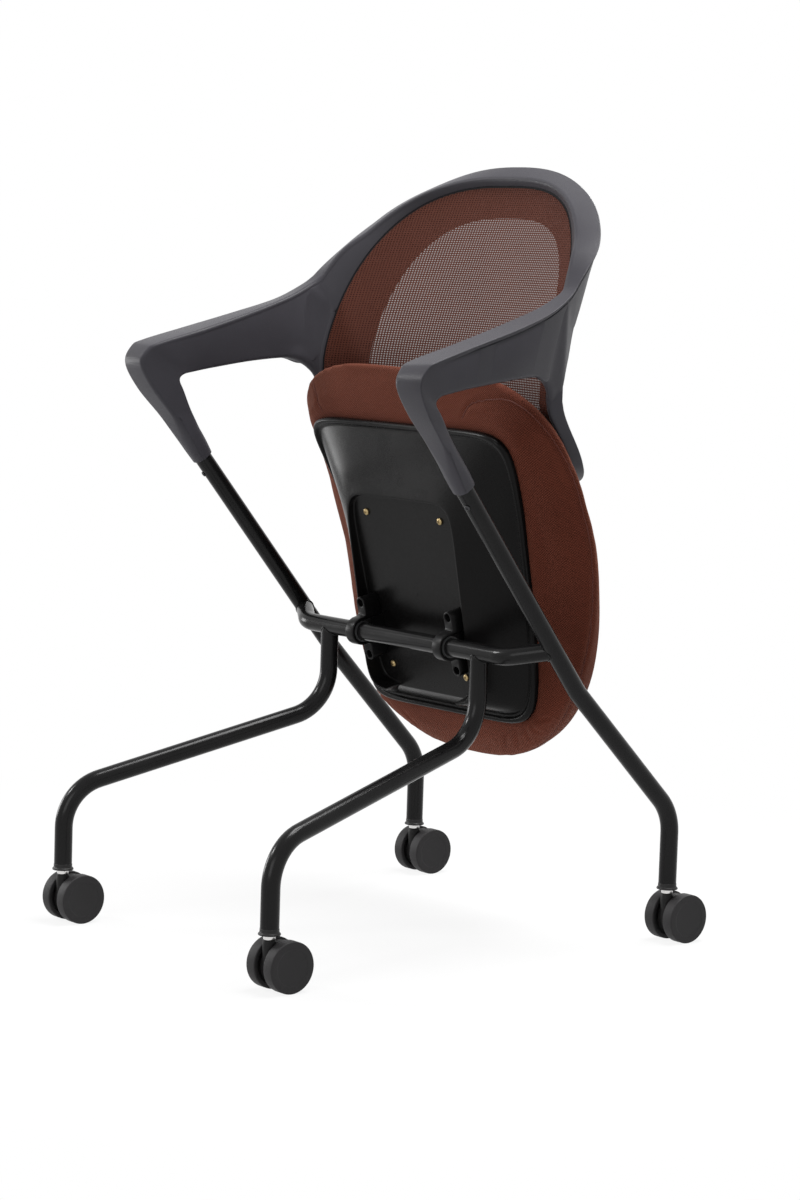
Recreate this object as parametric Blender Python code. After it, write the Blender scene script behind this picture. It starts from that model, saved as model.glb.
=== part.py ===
"""Nesting chair on castors: bent tube frame, moulded back and arms, mesh back, flip-up seat.

Metres, +Z up. The chair faces -Y and stands on z = 0, with the sitter's left at +X.
It is modelled with its seat folded up, as it nests.
"""

import math

import bmesh
import bpy
import numpy as np
from mathutils import Matrix, Vector

# Fits
CLEARANCE = 0.0003
RUNNING_GAP = 0.0005

# Frame tube
TUBE_DIAMETER = 0.022
TUBE_WALL = 0.002
TUBE_SIDES = 14
LEG_BEND_RADIUS = 0.060
BEND_STEPS = 5

# Legs: feet on plan, then the corners of each bent tube
FRONT_FOOT = (0.2145, -0.3045)
FRONT_LOWER_BEND_Z = 0.164
FRONT_UPPER_BEND = (0.1475, 0.2555)
REAR_FOOT = (0.2475, 0.2725)
REAR_LOWER_BEND_Z = 0.160
REAR_MID_BEND = (0.2416, 0.118, 0.3167)
ARM_JOINT = (0.2589, -0.0812, 0.5646)

# Crossbar, whose straight middle is the seat's hinge axis
PIVOT_Y = 0.044
PIVOT_Z = 0.357
CROSSBAR_BEND_X = 0.195
CROSSBAR_BEND_RADIUS = 0.045
CROSSBAR_END_Z = 0.3686

# Castors
WHEEL_DIAMETER = 0.060
WHEEL_WIDTH = 0.0155
WHEEL_EDGE = 0.0025
WHEEL_SEGMENTS = 24
WHEEL_HUB_DIAMETER = 0.016
WHEEL_RIM = 0.006
WHEEL_CUP_DEPTH = 0.006
CASTOR_WIDTH = 0.048
CASTOR_TRAIL = 0.016
AXLE_DIAMETER = 0.006
AXLE_GRIP = 0.010
HOUSING_DRUM_RADIUS = 0.0225
HOUSING_HOOD_RADIUS = 0.0275
HOOD_FROM = math.radians(10)
HOOD_TO = math.radians(120)
HOUSING_TOP_Z = 0.060
STEM_DIAMETER = 0.010
STEM_COLLAR_DIAMETER = 0.014
STEM_SEAT_DEPTH = 0.022
STEM_INSERTION = 0.030
FERRULE_Z = 0.0655
FERRULE_HEIGHT = 0.0035
FERRULE_OVERHANG = 0.002
BUSHING_LENGTH = 0.034

# Back: a surface bowed forward at the waist and wrapped forward at the sides
BACK_BEND_Y = 0.0800
BACK_BEND_Z = 0.650
BACK_BEND_ROUNDING = 0.050
BACK_UPPER_SLOPE = 0.40
BACK_LOWER_SLOPE = 1.05
BACK_WRAP = 0.838
BACK_UNWRAP_HEIGHT = 0.080

# Mesh opening, seen from the front
OPENING_HALF_WIDTH = 0.218
OPENING_TOP_Z = 0.914
OPENING_WAIST_Z = 0.680
OPENING_BOTTOM_Z = 0.573
OPENING_UPPER_POWER = 2.8
OPENING_LOWER_POWER = 5.0
OUTLINE_STEPS = 56
SPLINE_WIDTH = 0.005
SPLINE_FRONT = 0.0015
SPLINE_DEPTH = 0.0115
MESH_THICKNESS = 0.0012
MESH_RING_SHARES = (1.0, 0.84, 0.66, 0.46, 0.26, 0.08)
LINING_SETBACK = 0.008
LINING_LEAN = 0.010
LINING_SIDE = 0.052
LINING_TOP = 0.040
LINING_BOTTOM = 0.030

# Moulding section corners round the hoop, keyed by the angle in degrees from its top.
# Each corner is (outwards, rearwards, towards the top) of the mesh opening's edge:
# outer rim, inner rim, outer back edge
HOOP_SECTIONS = (
    (0.0, (0.0244, 0.014, 0.0), (0.009, -0.005, 0.0), (0.008, 0.022, 0.0)),
    (28.0, (0.0225, 0.020, 0.0), (0.011, -0.006, 0.0), (0.0095, 0.0225, 0.0)),
    (52.0, (0.037, 0.0195, 0.0065), (0.017, -0.009, 0.0), (0.021, 0.0245, 0.0)),
    (63.0, (0.0462, 0.0105, 0.0104), (0.024, -0.015, 0.010), (0.022, 0.016, 0.0)),
    (78.0, (0.046, -0.009, 0.034), (0.024, -0.012, 0.036), (0.013, 0.013, -0.010)),
)
# The same corners on the uprights and bottom rail, with the inner edge first
LOWER_RING_SECTION = ((0.0, 0.0), (0.003, -0.004), (0.020, -0.005), (0.010, 0.019))

# Arm sections from below the tip to the shoulder: outer rim, inner rim, inner edge, outer edge
ARM_SECTIONS = (
    ((0.2805, -0.1265, 0.608), (0.2487, -0.1275, 0.609), (0.246, -0.102, 0.616), (0.2755, -0.110, 0.616)),
    ((0.290, -0.161, 0.649), (0.251, -0.163, 0.650), (0.246, -0.118, 0.648), (0.284, -0.135, 0.646)),
    ((0.295, -0.1775, 0.681), (0.2525, -0.181, 0.681), (0.246, -0.1245, 0.661), (0.286, -0.1465, 0.661)),
    ((0.296, -0.168, 0.702), (0.250, -0.174, 0.699), (0.246, -0.119, 0.668), (0.287, -0.142, 0.669)),
    ((0.2955, -0.150, 0.7105), (0.246, -0.155, 0.709), (0.2457, -0.104, 0.6715), (0.285, -0.126, 0.673)),
    ((0.2882, -0.089, 0.728), (0.2413, -0.088, 0.728), (0.2435, -0.074, 0.677), (0.280, -0.086, 0.6795)),
    ((0.2812, -0.025, 0.746), (0.239, -0.019, 0.750), (0.2395, -0.017, 0.686), (0.268, -0.020, 0.687)),
    ((0.270, 0.031, 0.764), (0.2385, 0.034, 0.769), (0.233, 0.038, 0.691), (0.253, 0.027, 0.6895)),
    ((0.262, 0.0656, 0.782), (0.2375, 0.066, 0.785), (0.222, 0.067, 0.688), (0.239, 0.060, 0.687)),
)
ARM_STEPS = 2
ARM_EDGE = 0.0055
MESH_SEAT_EDGE = 0.0006
ARM_END_LIP = 0.0015
SPIGOT_LENGTH = 0.060
ARM_SCREW_DROP = 0.020
ARM_SCREW_TURN = 72.0

# Seat, in its own frame: hinge axis at the origin, front towards -Y, sitting side +Z
SEAT_FOLD = math.radians(75.3)
CUSHION_HALF_WIDTH = 0.2425
CUSHION_MIDDLE_Y = -0.147
CUSHION_FRONT = 0.183
CUSHION_REAR = 0.326
CUSHION_FRONT_POWER = 3.75
CUSHION_REAR_POWER = 2.57
CUSHION_BOTTOM_Z = 0.0663
CUSHION_HEIGHT = 0.0675
CUSHION_CROWN = 0.006
CUSHION_RIM_MARGIN = 0.004
CUSHION_SHOULDER = 0.018
CUSHION_FRONT_DROP = 0.056
CUSHION_ROLL_START_Y = -0.090
CUSHION_STEPS = 44
# Side form, keyed by the angle in degrees from the rear: how fully the underside swells out
# from the pan's rim, and the share of the height at which the side is widest
CUSHION_SIDES = (
    (0.0, (6.0, 0.32)),
    (45.0, (3.2, 0.34)),
    (90.0, (1.15, 0.80)),
    (135.0, (3.1, 0.44)),
    (180.0, (3.3, 0.42)),
)

PAN_FRONT_HALF_WIDTH = 0.2137
PAN_MIDDLE_HALF_WIDTH = 0.1667
PAN_REAR_HALF_WIDTH = 0.1667
PAN_FRONT_Y = -0.2592
PAN_REAR_Y = 0.1127
PAN_POWER = 8.5
PAN_STEPS = CUSHION_STEPS
PAN_RIM_Z = 0.057
PAN_BOW = 0.027
PAN_RIM_HEIGHT = 0.0095
PAN_RIM_WIDTH = 0.008
PAN_WALL = 0.0032
PAN_GROOVE = 0.003
PLATEAU_HALF_WIDTH = 0.104
PLATEAU_FRONT_Y = -0.1735
PLATEAU_REAR_Y = 0.081
PLATEAU_Z = 0.033
PLATEAU_WALL = 0.0035
PLATEAU_FRONT_WALL = 0.005
PLATEAU_REAR_WALL = 0.022
PLATEAU_NOTCH = 0.068
BOARD_THICKNESS = 0.009
BOARD_MARGIN = 0.044
BOSS_DIAMETER = 0.013

# Seat fasteners and hinge
SCREW_DIAMETER = 0.005
SCREW_HEAD_DIAMETER = 0.009
SCREW_HEAD_HEIGHT = 0.003
SCREW_BITE = 0.0065
PAN_SCREW_X = 0.072
PAN_SCREW_Y = (-0.147, 0.052)
CLAMP_X = 0.086
CLAMP_WIDTH = 0.017
CLAMP_SCREW_Y = 0.0335
CLAMP_EAR_Y = 0.041
CLAMP_EAR_Z = 0.008
CLAMP_EDGE = 0.003
CLAMP_WALL = 0.0052
CLAMP_COUNTERBORE = 0.009
BUSH_WALL = 0.002
ROUND_STEPS = 16

TUBE_RADIUS = TUBE_DIAMETER / 2
TUBE_BORE = TUBE_RADIUS - TUBE_WALL
PIVOT = Vector((0, PIVOT_Y, PIVOT_Z))
AXLE_Z = WHEEL_DIAMETER / 2
HOUSING_WIDTH = CASTOR_WIDTH - 2 * WHEEL_WIDTH - 2 * RUNNING_GAP
TUBE_FOOT_Z = FERRULE_Z + FERRULE_HEIGHT + CLEARANCE
BOARD_TOP_Z = CUSHION_BOTTOM_Z - CLEARANCE
BOARD_BOTTOM_Z = BOARD_TOP_Z - BOARD_THICKNESS
BUSH_OUTER = TUBE_RADIUS + CLEARANCE + BUSH_WALL
CLAMP_BORE = BUSH_OUTER + CLEARANCE


def clear_scene():
    for item in list(bpy.data.objects):
        bpy.data.objects.remove(item, do_unlink=True)


def material(name, colour, roughness, metallic=0.0):
    made = bpy.data.materials.new(name)
    made.use_nodes = True
    shader = made.node_tree.nodes["Principled BSDF"]
    shader.inputs["Base Color"].default_value = (*colour, 1.0)
    shader.inputs["Roughness"].default_value = roughness
    shader.inputs["Metallic"].default_value = metallic
    return made


def add_object(name, shape, finish=None, parent=None, location=(0, 0, 0)):
    """Makes an object of a bmesh, with its faces turned outwards."""
    bmesh.ops.recalc_face_normals(shape, faces=shape.faces)
    mesh = bpy.data.meshes.new(name)
    shape.to_mesh(mesh)
    shape.free()
    return place_mesh(name, mesh, finish, parent, location)


def place_mesh(name, mesh, finish, parent=None, location=(0, 0, 0)):
    smooth(mesh)
    if finish and not mesh.materials:
        mesh.materials.append(finish)
    item = bpy.data.objects.new(name, mesh)
    item.location = location
    item.parent = parent
    bpy.context.collection.objects.link(item)
    return item


def smooth(mesh):
    mesh.shade_smooth()
    mesh.set_sharp_from_angle(angle=math.radians(35))


def add_empty(name, location, parent=None):
    empty = bpy.data.objects.new(name, None)
    empty.location = location
    empty.parent = parent
    bpy.context.collection.objects.link(empty)
    return empty


def combine(base, helper, operation):
    """Joins or cuts one object by another that shares its frame, and removes the helper."""
    modifier = base.modifiers.new(operation.title(), "BOOLEAN")
    modifier.operation = operation
    modifier.solver = "EXACT"
    modifier.object = helper
    bpy.context.view_layer.update()
    graph = bpy.context.evaluated_depsgraph_get()
    result = bpy.data.meshes.new_from_object(base.evaluated_get(graph))
    base.modifiers.clear()
    base.data = result
    smooth(result)
    bpy.data.objects.remove(helper, do_unlink=True)


def rings_to_shape(shape, rings, closed=False):
    """Skins rings of equal length. Open skins get a flat face at both ends."""
    loops = [[shape.verts.new(point) for point in ring] for ring in rings]
    spans = list(zip(loops, loops[1:]))
    if closed:
        spans.append((loops[-1], loops[0]))
    for first, second in spans:
        for i in range(len(first)):
            j = (i + 1) % len(first)
            shape.faces.new((first[i], first[j], second[j], second[i]))
    if not closed:
        shape.faces.new(loops[0])
        shape.faces.new(loops[-1])
    return shape


def skin(rings, closed=False):
    return rings_to_shape(bmesh.new(), rings, closed)


def frame_along(direction):
    """Two unit vectors square to a direction."""
    ahead = Vector(direction).normalized()
    side = ahead.cross(Vector((0, 0, 1)))
    if side.length < 0.01:
        side = ahead.cross(Vector((0, 1, 0)))
    side.normalize()
    return side, side.cross(ahead)


def circle(centre, direction, radius, steps=ROUND_STEPS):
    side, up = frame_along(direction)
    turns = [2 * math.pi * (k + 0.5) / steps for k in range(steps)]
    return [Vector(centre) + radius * (math.cos(t) * side + math.sin(t) * up) for t in turns]


def turned(stations, direction, steps=ROUND_STEPS):
    """A solid turned about an axis through the first station: (distance along it, radius)."""
    ahead = Vector(direction).normalized()
    return [circle(ahead * along, direction, radius, steps) for along, radius in stations]


def rod(start, end, radius, steps=ROUND_STEPS):
    direction = Vector(end) - Vector(start)
    return skin([circle(start, direction, radius, steps), circle(end, direction, radius, steps)])


def rounded_path(corners, radii):
    """Points and directions along a path whose inner corners are rounded."""
    corners = [Vector(c) for c in corners]
    stations = [(corners[0], (corners[1] - corners[0]).normalized())]
    for before, corner, after, radius in zip(corners, corners[1:], corners[2:], radii):
        incoming = (corner - before).normalized()
        outgoing = (after - corner).normalized()
        turn = incoming.angle(outgoing)
        axis = incoming.cross(outgoing).normalized()
        start = corner - incoming * radius * math.tan(turn / 2)
        centre = start + axis.cross(incoming) * radius
        for k in range(BEND_STEPS + 1):
            spin = Matrix.Rotation(turn * k / BEND_STEPS, 3, axis)
            stations.append((centre + spin @ (start - centre), spin @ incoming))
    stations.append((corners[-1], (corners[-1] - corners[-2]).normalized()))
    return stations


def tube_ring(stations, radius):
    """Circles along a path, carried from one to the next without twist."""
    side = frame_along(stations[0][1])[0]
    rings = []
    for point, ahead in stations:
        side = (side - ahead * side.dot(ahead)).normalized()
        up = ahead.cross(side)
        turns = [2 * math.pi * k / TUBE_SIDES for k in range(TUBE_SIDES)]
        rings.append([point + radius * (math.cos(t) * side + math.sin(t) * up) for t in turns])
    return rings


def hollow_tube(stations):
    """A tube open at both ends: the outer skin, then back along the bore."""
    return skin(tube_ring(stations, TUBE_RADIUS) + tube_ring(stations, TUBE_BORE)[::-1], closed=True)


def superellipse(angle, half_width, half_length, power):
    """A point on a rounded outline: angle 0 at +length, a quarter turn at +width."""
    across = math.sin(angle)
    along = math.cos(angle)
    return (
        half_width * math.copysign(abs(across) ** (2 / power), across),
        half_length * math.copysign(abs(along) ** (2 / power), along),
    )


def blended(keys, position):
    """Smooth curve through keyed vectors: keys are (position, vector)."""
    places = [key[0] for key in keys]
    values = [np.array(key[1], float) for key in keys]
    k = int(np.clip(np.searchsorted(places, position, side="right") - 1, 0, len(keys) - 2))
    span = places[k + 1] - places[k]
    t = (position - places[k]) / span

    def slope(i):
        low = max(i - 1, 0)
        high = min(i + 1, len(keys) - 1)
        return (values[high] - values[low]) / (places[high] - places[low])

    start = slope(k) * span
    end = slope(k + 1) * span
    return (
        values[k] * (1 + 2 * t) * (1 - t) ** 2
        + start * t * (1 - t) ** 2
        + values[k + 1] * t * t * (3 - 2 * t)
        - end * t * t * (1 - t)
    )


# Castors


def wheel_shape():
    """One wheel about the X axis from its inner face, with a blind bore and a dished inner face."""
    radius = WHEEL_DIAMETER / 2 / math.cos(math.pi / WHEEL_SEGMENTS)
    bore = AXLE_DIAMETER / 2 + CLEARANCE
    rim = WHEEL_DIAMETER / 2 - WHEEL_RIM
    stations = (
        (AXLE_GRIP + CLEARANCE, bore),
        (0, bore),
        (0, WHEEL_HUB_DIAMETER / 2),
        (WHEEL_CUP_DEPTH, WHEEL_HUB_DIAMETER / 2),
        (WHEEL_CUP_DEPTH, rim),
        (0, rim),
        (0, radius - WHEEL_EDGE / 2),
        (WHEEL_EDGE / 2, radius),
        (WHEEL_WIDTH - WHEEL_EDGE, radius),
        (WHEEL_WIDTH, radius - WHEEL_EDGE),
    )
    return skin(turned(stations, (1, 0, 0), WHEEL_SEGMENTS))


def housing_mesh():
    """Castor body between the wheels, about the stem's axis on the floor."""
    axle = Vector((0, CASTOR_TRAIL, AXLE_Z))
    outline = []
    for k in range(2 * ROUND_STEPS):
        angle = 2 * math.pi * k / (2 * ROUND_STEPS)
        hooded = HOOD_FROM <= angle <= HOOD_TO
        radius = HOUSING_HOOD_RADIUS if hooded else HOUSING_DRUM_RADIUS
        outline.append(axle + radius * Vector((0, math.cos(angle), math.sin(angle))))
    half = Vector((HOUSING_WIDTH / 2, 0, 0))
    body = add_object("housing", skin([[p - half for p in outline], [p + half for p in outline]]))
    boss_foot = (0, 0, AXLE_Z)
    boss = rod(boss_foot, (0, 0, HOUSING_TOP_Z), HOUSING_WIDTH / 2)
    combine(body, add_object("boss", boss), "UNION")
    bore = AXLE_DIAMETER / 2 + CLEARANCE
    combine(body, add_object("axle_bore", rod(axle - 2 * half, axle + 2 * half, bore)), "DIFFERENCE")
    seat = (0, 0, HOUSING_TOP_Z - STEM_SEAT_DEPTH)
    above = (0, 0, HOUSING_TOP_Z + STEM_SEAT_DEPTH)
    bore = STEM_DIAMETER / 2 + CLEARANCE
    combine(body, add_object("stem_bore", rod(seat, above, bore)), "DIFFERENCE")
    mesh = body.data.copy()
    bpy.data.objects.remove(body, do_unlink=True)
    return mesh


def stem_shape():
    """Pin with a collar that carries the ferrule, from inside the housing up into the leg."""
    radius = STEM_DIAMETER / 2
    collar = STEM_COLLAR_DIAMETER / 2
    stations = (
        (HOUSING_TOP_Z - STEM_SEAT_DEPTH + CLEARANCE, radius),
        (HOUSING_TOP_Z + CLEARANCE, radius),
        (HOUSING_TOP_Z + CLEARANCE, collar),
        (FERRULE_Z - CLEARANCE, collar),
        (FERRULE_Z - CLEARANCE, radius),
        (FERRULE_Z + STEM_INSERTION, radius),
    )
    return skin(turned(stations, (0, 0, 1)))


def bushing_shape():
    """Plastic plug in the tube's end, with the flared collar that shows below it."""
    bore = STEM_DIAMETER / 2 + CLEARANCE
    plug = TUBE_BORE * math.cos(math.pi / TUBE_SIDES) - CLEARANCE
    flange = TUBE_RADIUS + FERRULE_OVERHANG
    stations = (
        (FERRULE_Z, bore),
        (FERRULE_Z, flange),
        (FERRULE_Z + FERRULE_HEIGHT, flange - FERRULE_OVERHANG / 2),
        (FERRULE_Z + FERRULE_HEIGHT, plug),
        (FERRULE_Z + BUSHING_LENGTH, plug),
        (FERRULE_Z + BUSHING_LENGTH, bore),
    )
    return skin(turned(stations, (0, 0, 1)), closed=True)


def axle_shape():
    reach = HOUSING_WIDTH / 2 + RUNNING_GAP + AXLE_GRIP
    return rod((-reach, 0, 0), (reach, 0, 0), AXLE_DIAMETER / 2)


def build_castors(finishes):
    """Four castors: each a swivelling group with two wheels, under a bushing in the leg."""
    housing = housing_mesh()
    feet = {
        "front_left": (FRONT_FOOT[0], FRONT_FOOT[1]),
        "front_right": (-FRONT_FOOT[0], FRONT_FOOT[1]),
        "rear_left": (REAR_FOOT[0], REAR_FOOT[1]),
        "rear_right": (-REAR_FOOT[0], REAR_FOOT[1]),
    }
    axle_place = (0, CASTOR_TRAIL, AXLE_Z)
    inner_face = HOUSING_WIDTH / 2 + RUNNING_GAP
    for corner, (x, y) in feet.items():
        foot = (x, y, 0)
        add_object(corner + "_bushing", bushing_shape(), finishes["bushing"], location=foot)
        swivel = add_empty(corner + "_swivel", foot)
        place_mesh(corner + "_castor_housing", housing.copy(), finishes["housing"], swivel)
        add_object(corner + "_castor_stem", stem_shape(), finishes["chrome"], swivel)
        add_object(corner + "_castor_axle", axle_shape(), finishes["steel"], swivel, axle_place)
        for side, sign in (("outer", math.copysign(1, x)), ("inner", -math.copysign(1, x))):
            shape = wheel_shape()
            bmesh.ops.translate(shape, verts=shape.verts, vec=(inner_face, 0, 0))
            bmesh.ops.scale(shape, verts=shape.verts, vec=(sign, 1, 1))
            add_object(f"{corner}_{side}_wheel", shape, finishes["wheel"], swivel, axle_place)


# Tube frame


def mirrored(point, sign):
    return Vector((sign * point[0], point[1], point[2]))


def rear_leg_axis(sign):
    """Corners of the rear leg from its foot to the arm joint."""
    foot = (*REAR_FOOT, TUBE_FOOT_Z)
    bend = (*REAR_FOOT, REAR_LOWER_BEND_Z)
    return [mirrored(point, sign) for point in (foot, bend, REAR_MID_BEND, ARM_JOINT)]


def arm_direction(sign):
    """Unit vector up the straight upper run of the rear leg."""
    return (mirrored(ARM_JOINT, sign) - mirrored(REAR_MID_BEND, sign)).normalized()


def crossbar_end(sign):
    """Where the crossbar's axis meets the rear leg's axis."""
    ahead = arm_direction(sign)
    start = mirrored(REAR_MID_BEND, sign)
    return start + ahead * ((CROSSBAR_END_Z - start.z) / ahead.z)


def screw_axis(sign):
    """Centre of the arm screw's head on the tube, and its inward direction."""
    ahead = arm_direction(sign)
    inward = Vector((-sign, 0, 0))
    inward = (inward - ahead * inward.dot(ahead)).normalized()
    inward = Matrix.Rotation(-sign * math.radians(ARM_SCREW_TURN), 3, ahead) @ inward
    centre = mirrored(ARM_JOINT, sign) - ahead * ARM_SCREW_DROP
    return centre, inward


def build_frame(finish, screw_finish):
    for side, sign in (("left", 1), ("right", -1)):
        corners = rear_leg_axis(sign)
        corners[-1] = corners[-1] - arm_direction(sign) * CLEARANCE
        stations = rounded_path(corners, (LEG_BEND_RADIUS, LEG_BEND_RADIUS))
        leg = add_object(side + "_rear_leg", hollow_tube(stations), finish)
        centre, inward = screw_axis(sign)
        hole = SCREW_DIAMETER / 2 + CLEARANCE
        combine(leg, add_object("hole", rod(centre - inward * TUBE_DIAMETER, centre, hole)), "DIFFERENCE")
        add_object(side + "_arm_screw", arm_screw(centre, inward), screw_finish)

        foot = mirrored((*FRONT_FOOT, TUBE_FOOT_Z), sign)
        lower = mirrored((*FRONT_FOOT, FRONT_LOWER_BEND_Z), sign)
        upper = mirrored((FRONT_UPPER_BEND[0], PIVOT_Y, FRONT_UPPER_BEND[1]), sign)
        top = Vector((upper.x, PIVOT_Y, PIVOT_Z))
        stations = rounded_path((foot, lower, upper, top), (LEG_BEND_RADIUS, LEG_BEND_RADIUS))
        leg = add_object(side + "_front_leg", hollow_tube(stations), finish)
        along = Vector((TUBE_DIAMETER, 0, 0))
        cope = rod(top - along, top + along, TUBE_RADIUS + CLEARANCE, 2 * ROUND_STEPS)
        combine(leg, add_object("cope", cope), "DIFFERENCE")
    build_crossbar(finish)


def build_crossbar(finish):
    """One bent tube between the rear legs, coped to them at both ends."""
    right = Vector((-CROSSBAR_BEND_X, PIVOT_Y, PIVOT_Z))
    left = Vector((CROSSBAR_BEND_X, PIVOT_Y, PIVOT_Z))
    ends = crossbar_end(-1), crossbar_end(1)
    stations = rounded_path((ends[0], right, left, ends[1]), (CROSSBAR_BEND_RADIUS, CROSSBAR_BEND_RADIUS))
    bar = add_object("crossbar", hollow_tube(stations), finish)
    for end, sign in zip(ends, (-1, 1)):
        along = arm_direction(sign) * TUBE_DIAMETER
        cope = rod(end - along, end + along, TUBE_RADIUS + CLEARANCE, 2 * ROUND_STEPS)
        combine(bar, add_object("cope", cope), "DIFFERENCE")


def arm_screw(centre, inward):
    """A round-headed screw through the tube's wall into the arm's spigot."""
    surface = -(TUBE_RADIUS + CLEARANCE)
    profile = (
        (surface - SCREW_HEAD_HEIGHT / 2, SCREW_HEAD_DIAMETER / 4),
        (surface, SCREW_HEAD_DIAMETER / 2.6),
        (surface, SCREW_DIAMETER / 2),
        (-TUBE_BORE + SCREW_BITE, SCREW_DIAMETER / 2),
    )
    return skin([circle(centre + inward * along, inward, radius) for along, radius in profile])


# Moulded back and arms


def back_y(x, z):
    """Depth of the back's surface at a place seen from the front."""
    rise = z - BACK_BEND_Z
    swing = math.hypot(rise, BACK_BEND_ROUNDING)
    lean = (BACK_UPPER_SLOPE - BACK_LOWER_SLOPE) / 2 * rise
    sweep = (BACK_UPPER_SLOPE + BACK_LOWER_SLOPE) / 2 * swing
    wrap = BACK_WRAP / (1 + (min(rise, 0) / BACK_UNWRAP_HEIGHT) ** 2)
    return BACK_BEND_Y + lean + sweep - wrap * x * x


def opening(angle, inset=0.0, top_inset=None, bottom_inset=None):
    """Mesh outline seen from the front, as (x, z): angle 0 at the top, +X at a quarter turn."""
    upper = math.cos(angle) >= 0
    power = OPENING_UPPER_POWER if upper else OPENING_LOWER_POWER
    trim = top_inset if upper else bottom_inset
    reach = OPENING_TOP_Z - OPENING_WAIST_Z if upper else OPENING_WAIST_Z - OPENING_BOTTOM_Z
    reach -= inset if trim is None else trim
    x, rise = superellipse(angle, OPENING_HALF_WIDTH - inset, reach, power)
    return x, OPENING_WAIST_Z + rise


def outline_angle(k):
    """Angle of one step round the opening. All that follow its edge share these steps."""
    return 2 * math.pi * (k + 0.5) / OUTLINE_STEPS


def opening_point(angle, outwards=0.0, rearwards=0.0, upwards=0.0):
    """A point beside the mesh outline, square to it as seen from the front."""
    x, z = opening(angle)
    step = 0.01
    before = opening(angle - step)
    after = opening(angle + step)
    run = Vector((after[0] - before[0], after[1] - before[1])).normalized()
    shift = Vector((-run.y, run.x)) * outwards - run * upwards
    return Vector((x + shift.x, back_y(x, z) + rearwards, z + shift.y))


def section(corners, edges, steps=3):
    """A four-cornered section with each corner rounded by its edge length."""
    points = []
    befores = corners[-1:] + corners[:-1]
    afters = corners[1:] + corners[:1]
    for before, corner, after, edge in zip(befores, corners, afters, edges):
        back = before - corner
        on = after - corner
        start = corner + back * min(edge / back.length, 0.47)
        end = corner + on * min(edge / on.length, 0.47)
        for k in range(steps):
            t = k / (steps - 1)
            points.append(start * (1 - t) ** 2 + corner * 2 * t * (1 - t) + end * t * t)
    return points


def arm_end_corners():
    """The arm's round lower end, square to the tube that it sits on."""
    ahead = arm_direction(1)
    out = Vector((1, 0, 0))
    out = (out - ahead * out.dot(ahead)).normalized()
    rear = ahead.cross(out)
    radius = TUBE_RADIUS + ARM_END_LIP
    joint = Vector(ARM_JOINT)
    return [joint + radius * (a * out + b * rear) for a, b in ((1, -1), (-1, -1), (-1, 1), (1, 1))]


def hoop_corners(angle):
    """Section corners of the hoop: outer rim, inner rim, inner edge and back edge."""
    keys = [(key[0], [value for corner in key[1:] for value in corner]) for key in HOOP_SECTIONS]
    shifts = blended(keys, math.degrees(angle))
    outer, inner, back = (opening_point(angle, *shifts[3 * k:3 * k + 3]) for k in range(3))
    return [outer, inner, opening_point(angle), back]


def moulding_sections():
    """Rounded sections from the left arm's end over the hoop to the right arm's end."""
    shoulder = math.radians(HOOP_SECTIONS[-1][0])
    hoop = [hoop_corners(outline_angle(k)) for k in range(OUTLINE_STEPS) if outline_angle(k) < shoulder]
    hoop.reverse()
    arm = [arm_end_corners()] + [[Vector(corner) for corner in row] for row in ARM_SECTIONS]
    keys = [(i, np.ravel(corners)) for i, corners in enumerate(arm + hoop[:2])]
    half = []
    for step in range(len(arm) * ARM_STEPS):
        place = step / ARM_STEPS
        values = blended(keys, place)
        edge = ARM_EDGE + max(0.0, 1 - place / 2) * TUBE_DIAMETER
        half.append(section([Vector(values[3 * k:3 * k + 3]) for k in range(4)], [edge] * 4))
    half += [section(corners, (ARM_EDGE, ARM_EDGE, MESH_SEAT_EDGE, ARM_EDGE)) for corners in hoop]
    other = [[Vector((-point.x, point.y, point.z)) for point in ring] for ring in reversed(half)]
    return half + other


def lower_ring_sections():
    """Uprights and bottom rail, from inside one shoulder round to inside the other."""
    shoulder = math.radians(HOOP_SECTIONS[-1][0])
    sections = []
    for k in range(OUTLINE_STEPS):
        angle = outline_angle(k)
        if shoulder < angle < 2 * math.pi - shoulder:
            corners = [opening_point(angle, *offset) for offset in LOWER_RING_SECTION]
            sections.append(section(corners, (MESH_SEAT_EDGE, ARM_EDGE, ARM_EDGE, ARM_EDGE)))
    return sections


def build_back_frame(finish):
    body = add_object("back_frame", skin(moulding_sections()), finish)
    combine(body, add_object("lower_ring", skin(lower_ring_sections())), "UNION")
    for sign in (1, -1):
        joint = mirrored(ARM_JOINT, sign)
        ahead = arm_direction(sign)
        spigot = TUBE_BORE * math.cos(math.pi / TUBE_SIDES) - CLEARANCE
        plug = rod(joint - ahead * SPIGOT_LENGTH, joint + ahead * TUBE_DIAMETER, spigot)
        combine(body, add_object("spigot", plug), "UNION")
        centre, inward = screw_axis(sign)
        hole_end = centre + inward * (SCREW_BITE + CLEARANCE - TUBE_BORE)
        hole = rod(centre - inward * TUBE_DIAMETER, hole_end, SCREW_DIAMETER / 2 + CLEARANCE)
        combine(body, add_object("hole", hole), "DIFFERENCE")


def outline_ring(inset, rearwards, top_inset=None, bottom_inset=None):
    """A closed ring inside the opening, set back from the back's surface."""
    ring = []
    for k in range(OUTLINE_STEPS):
        x, z = opening(outline_angle(k), inset, top_inset, bottom_inset)
        ring.append(Vector((x, back_y(x, z) + rearwards, z)))
    return ring


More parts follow.
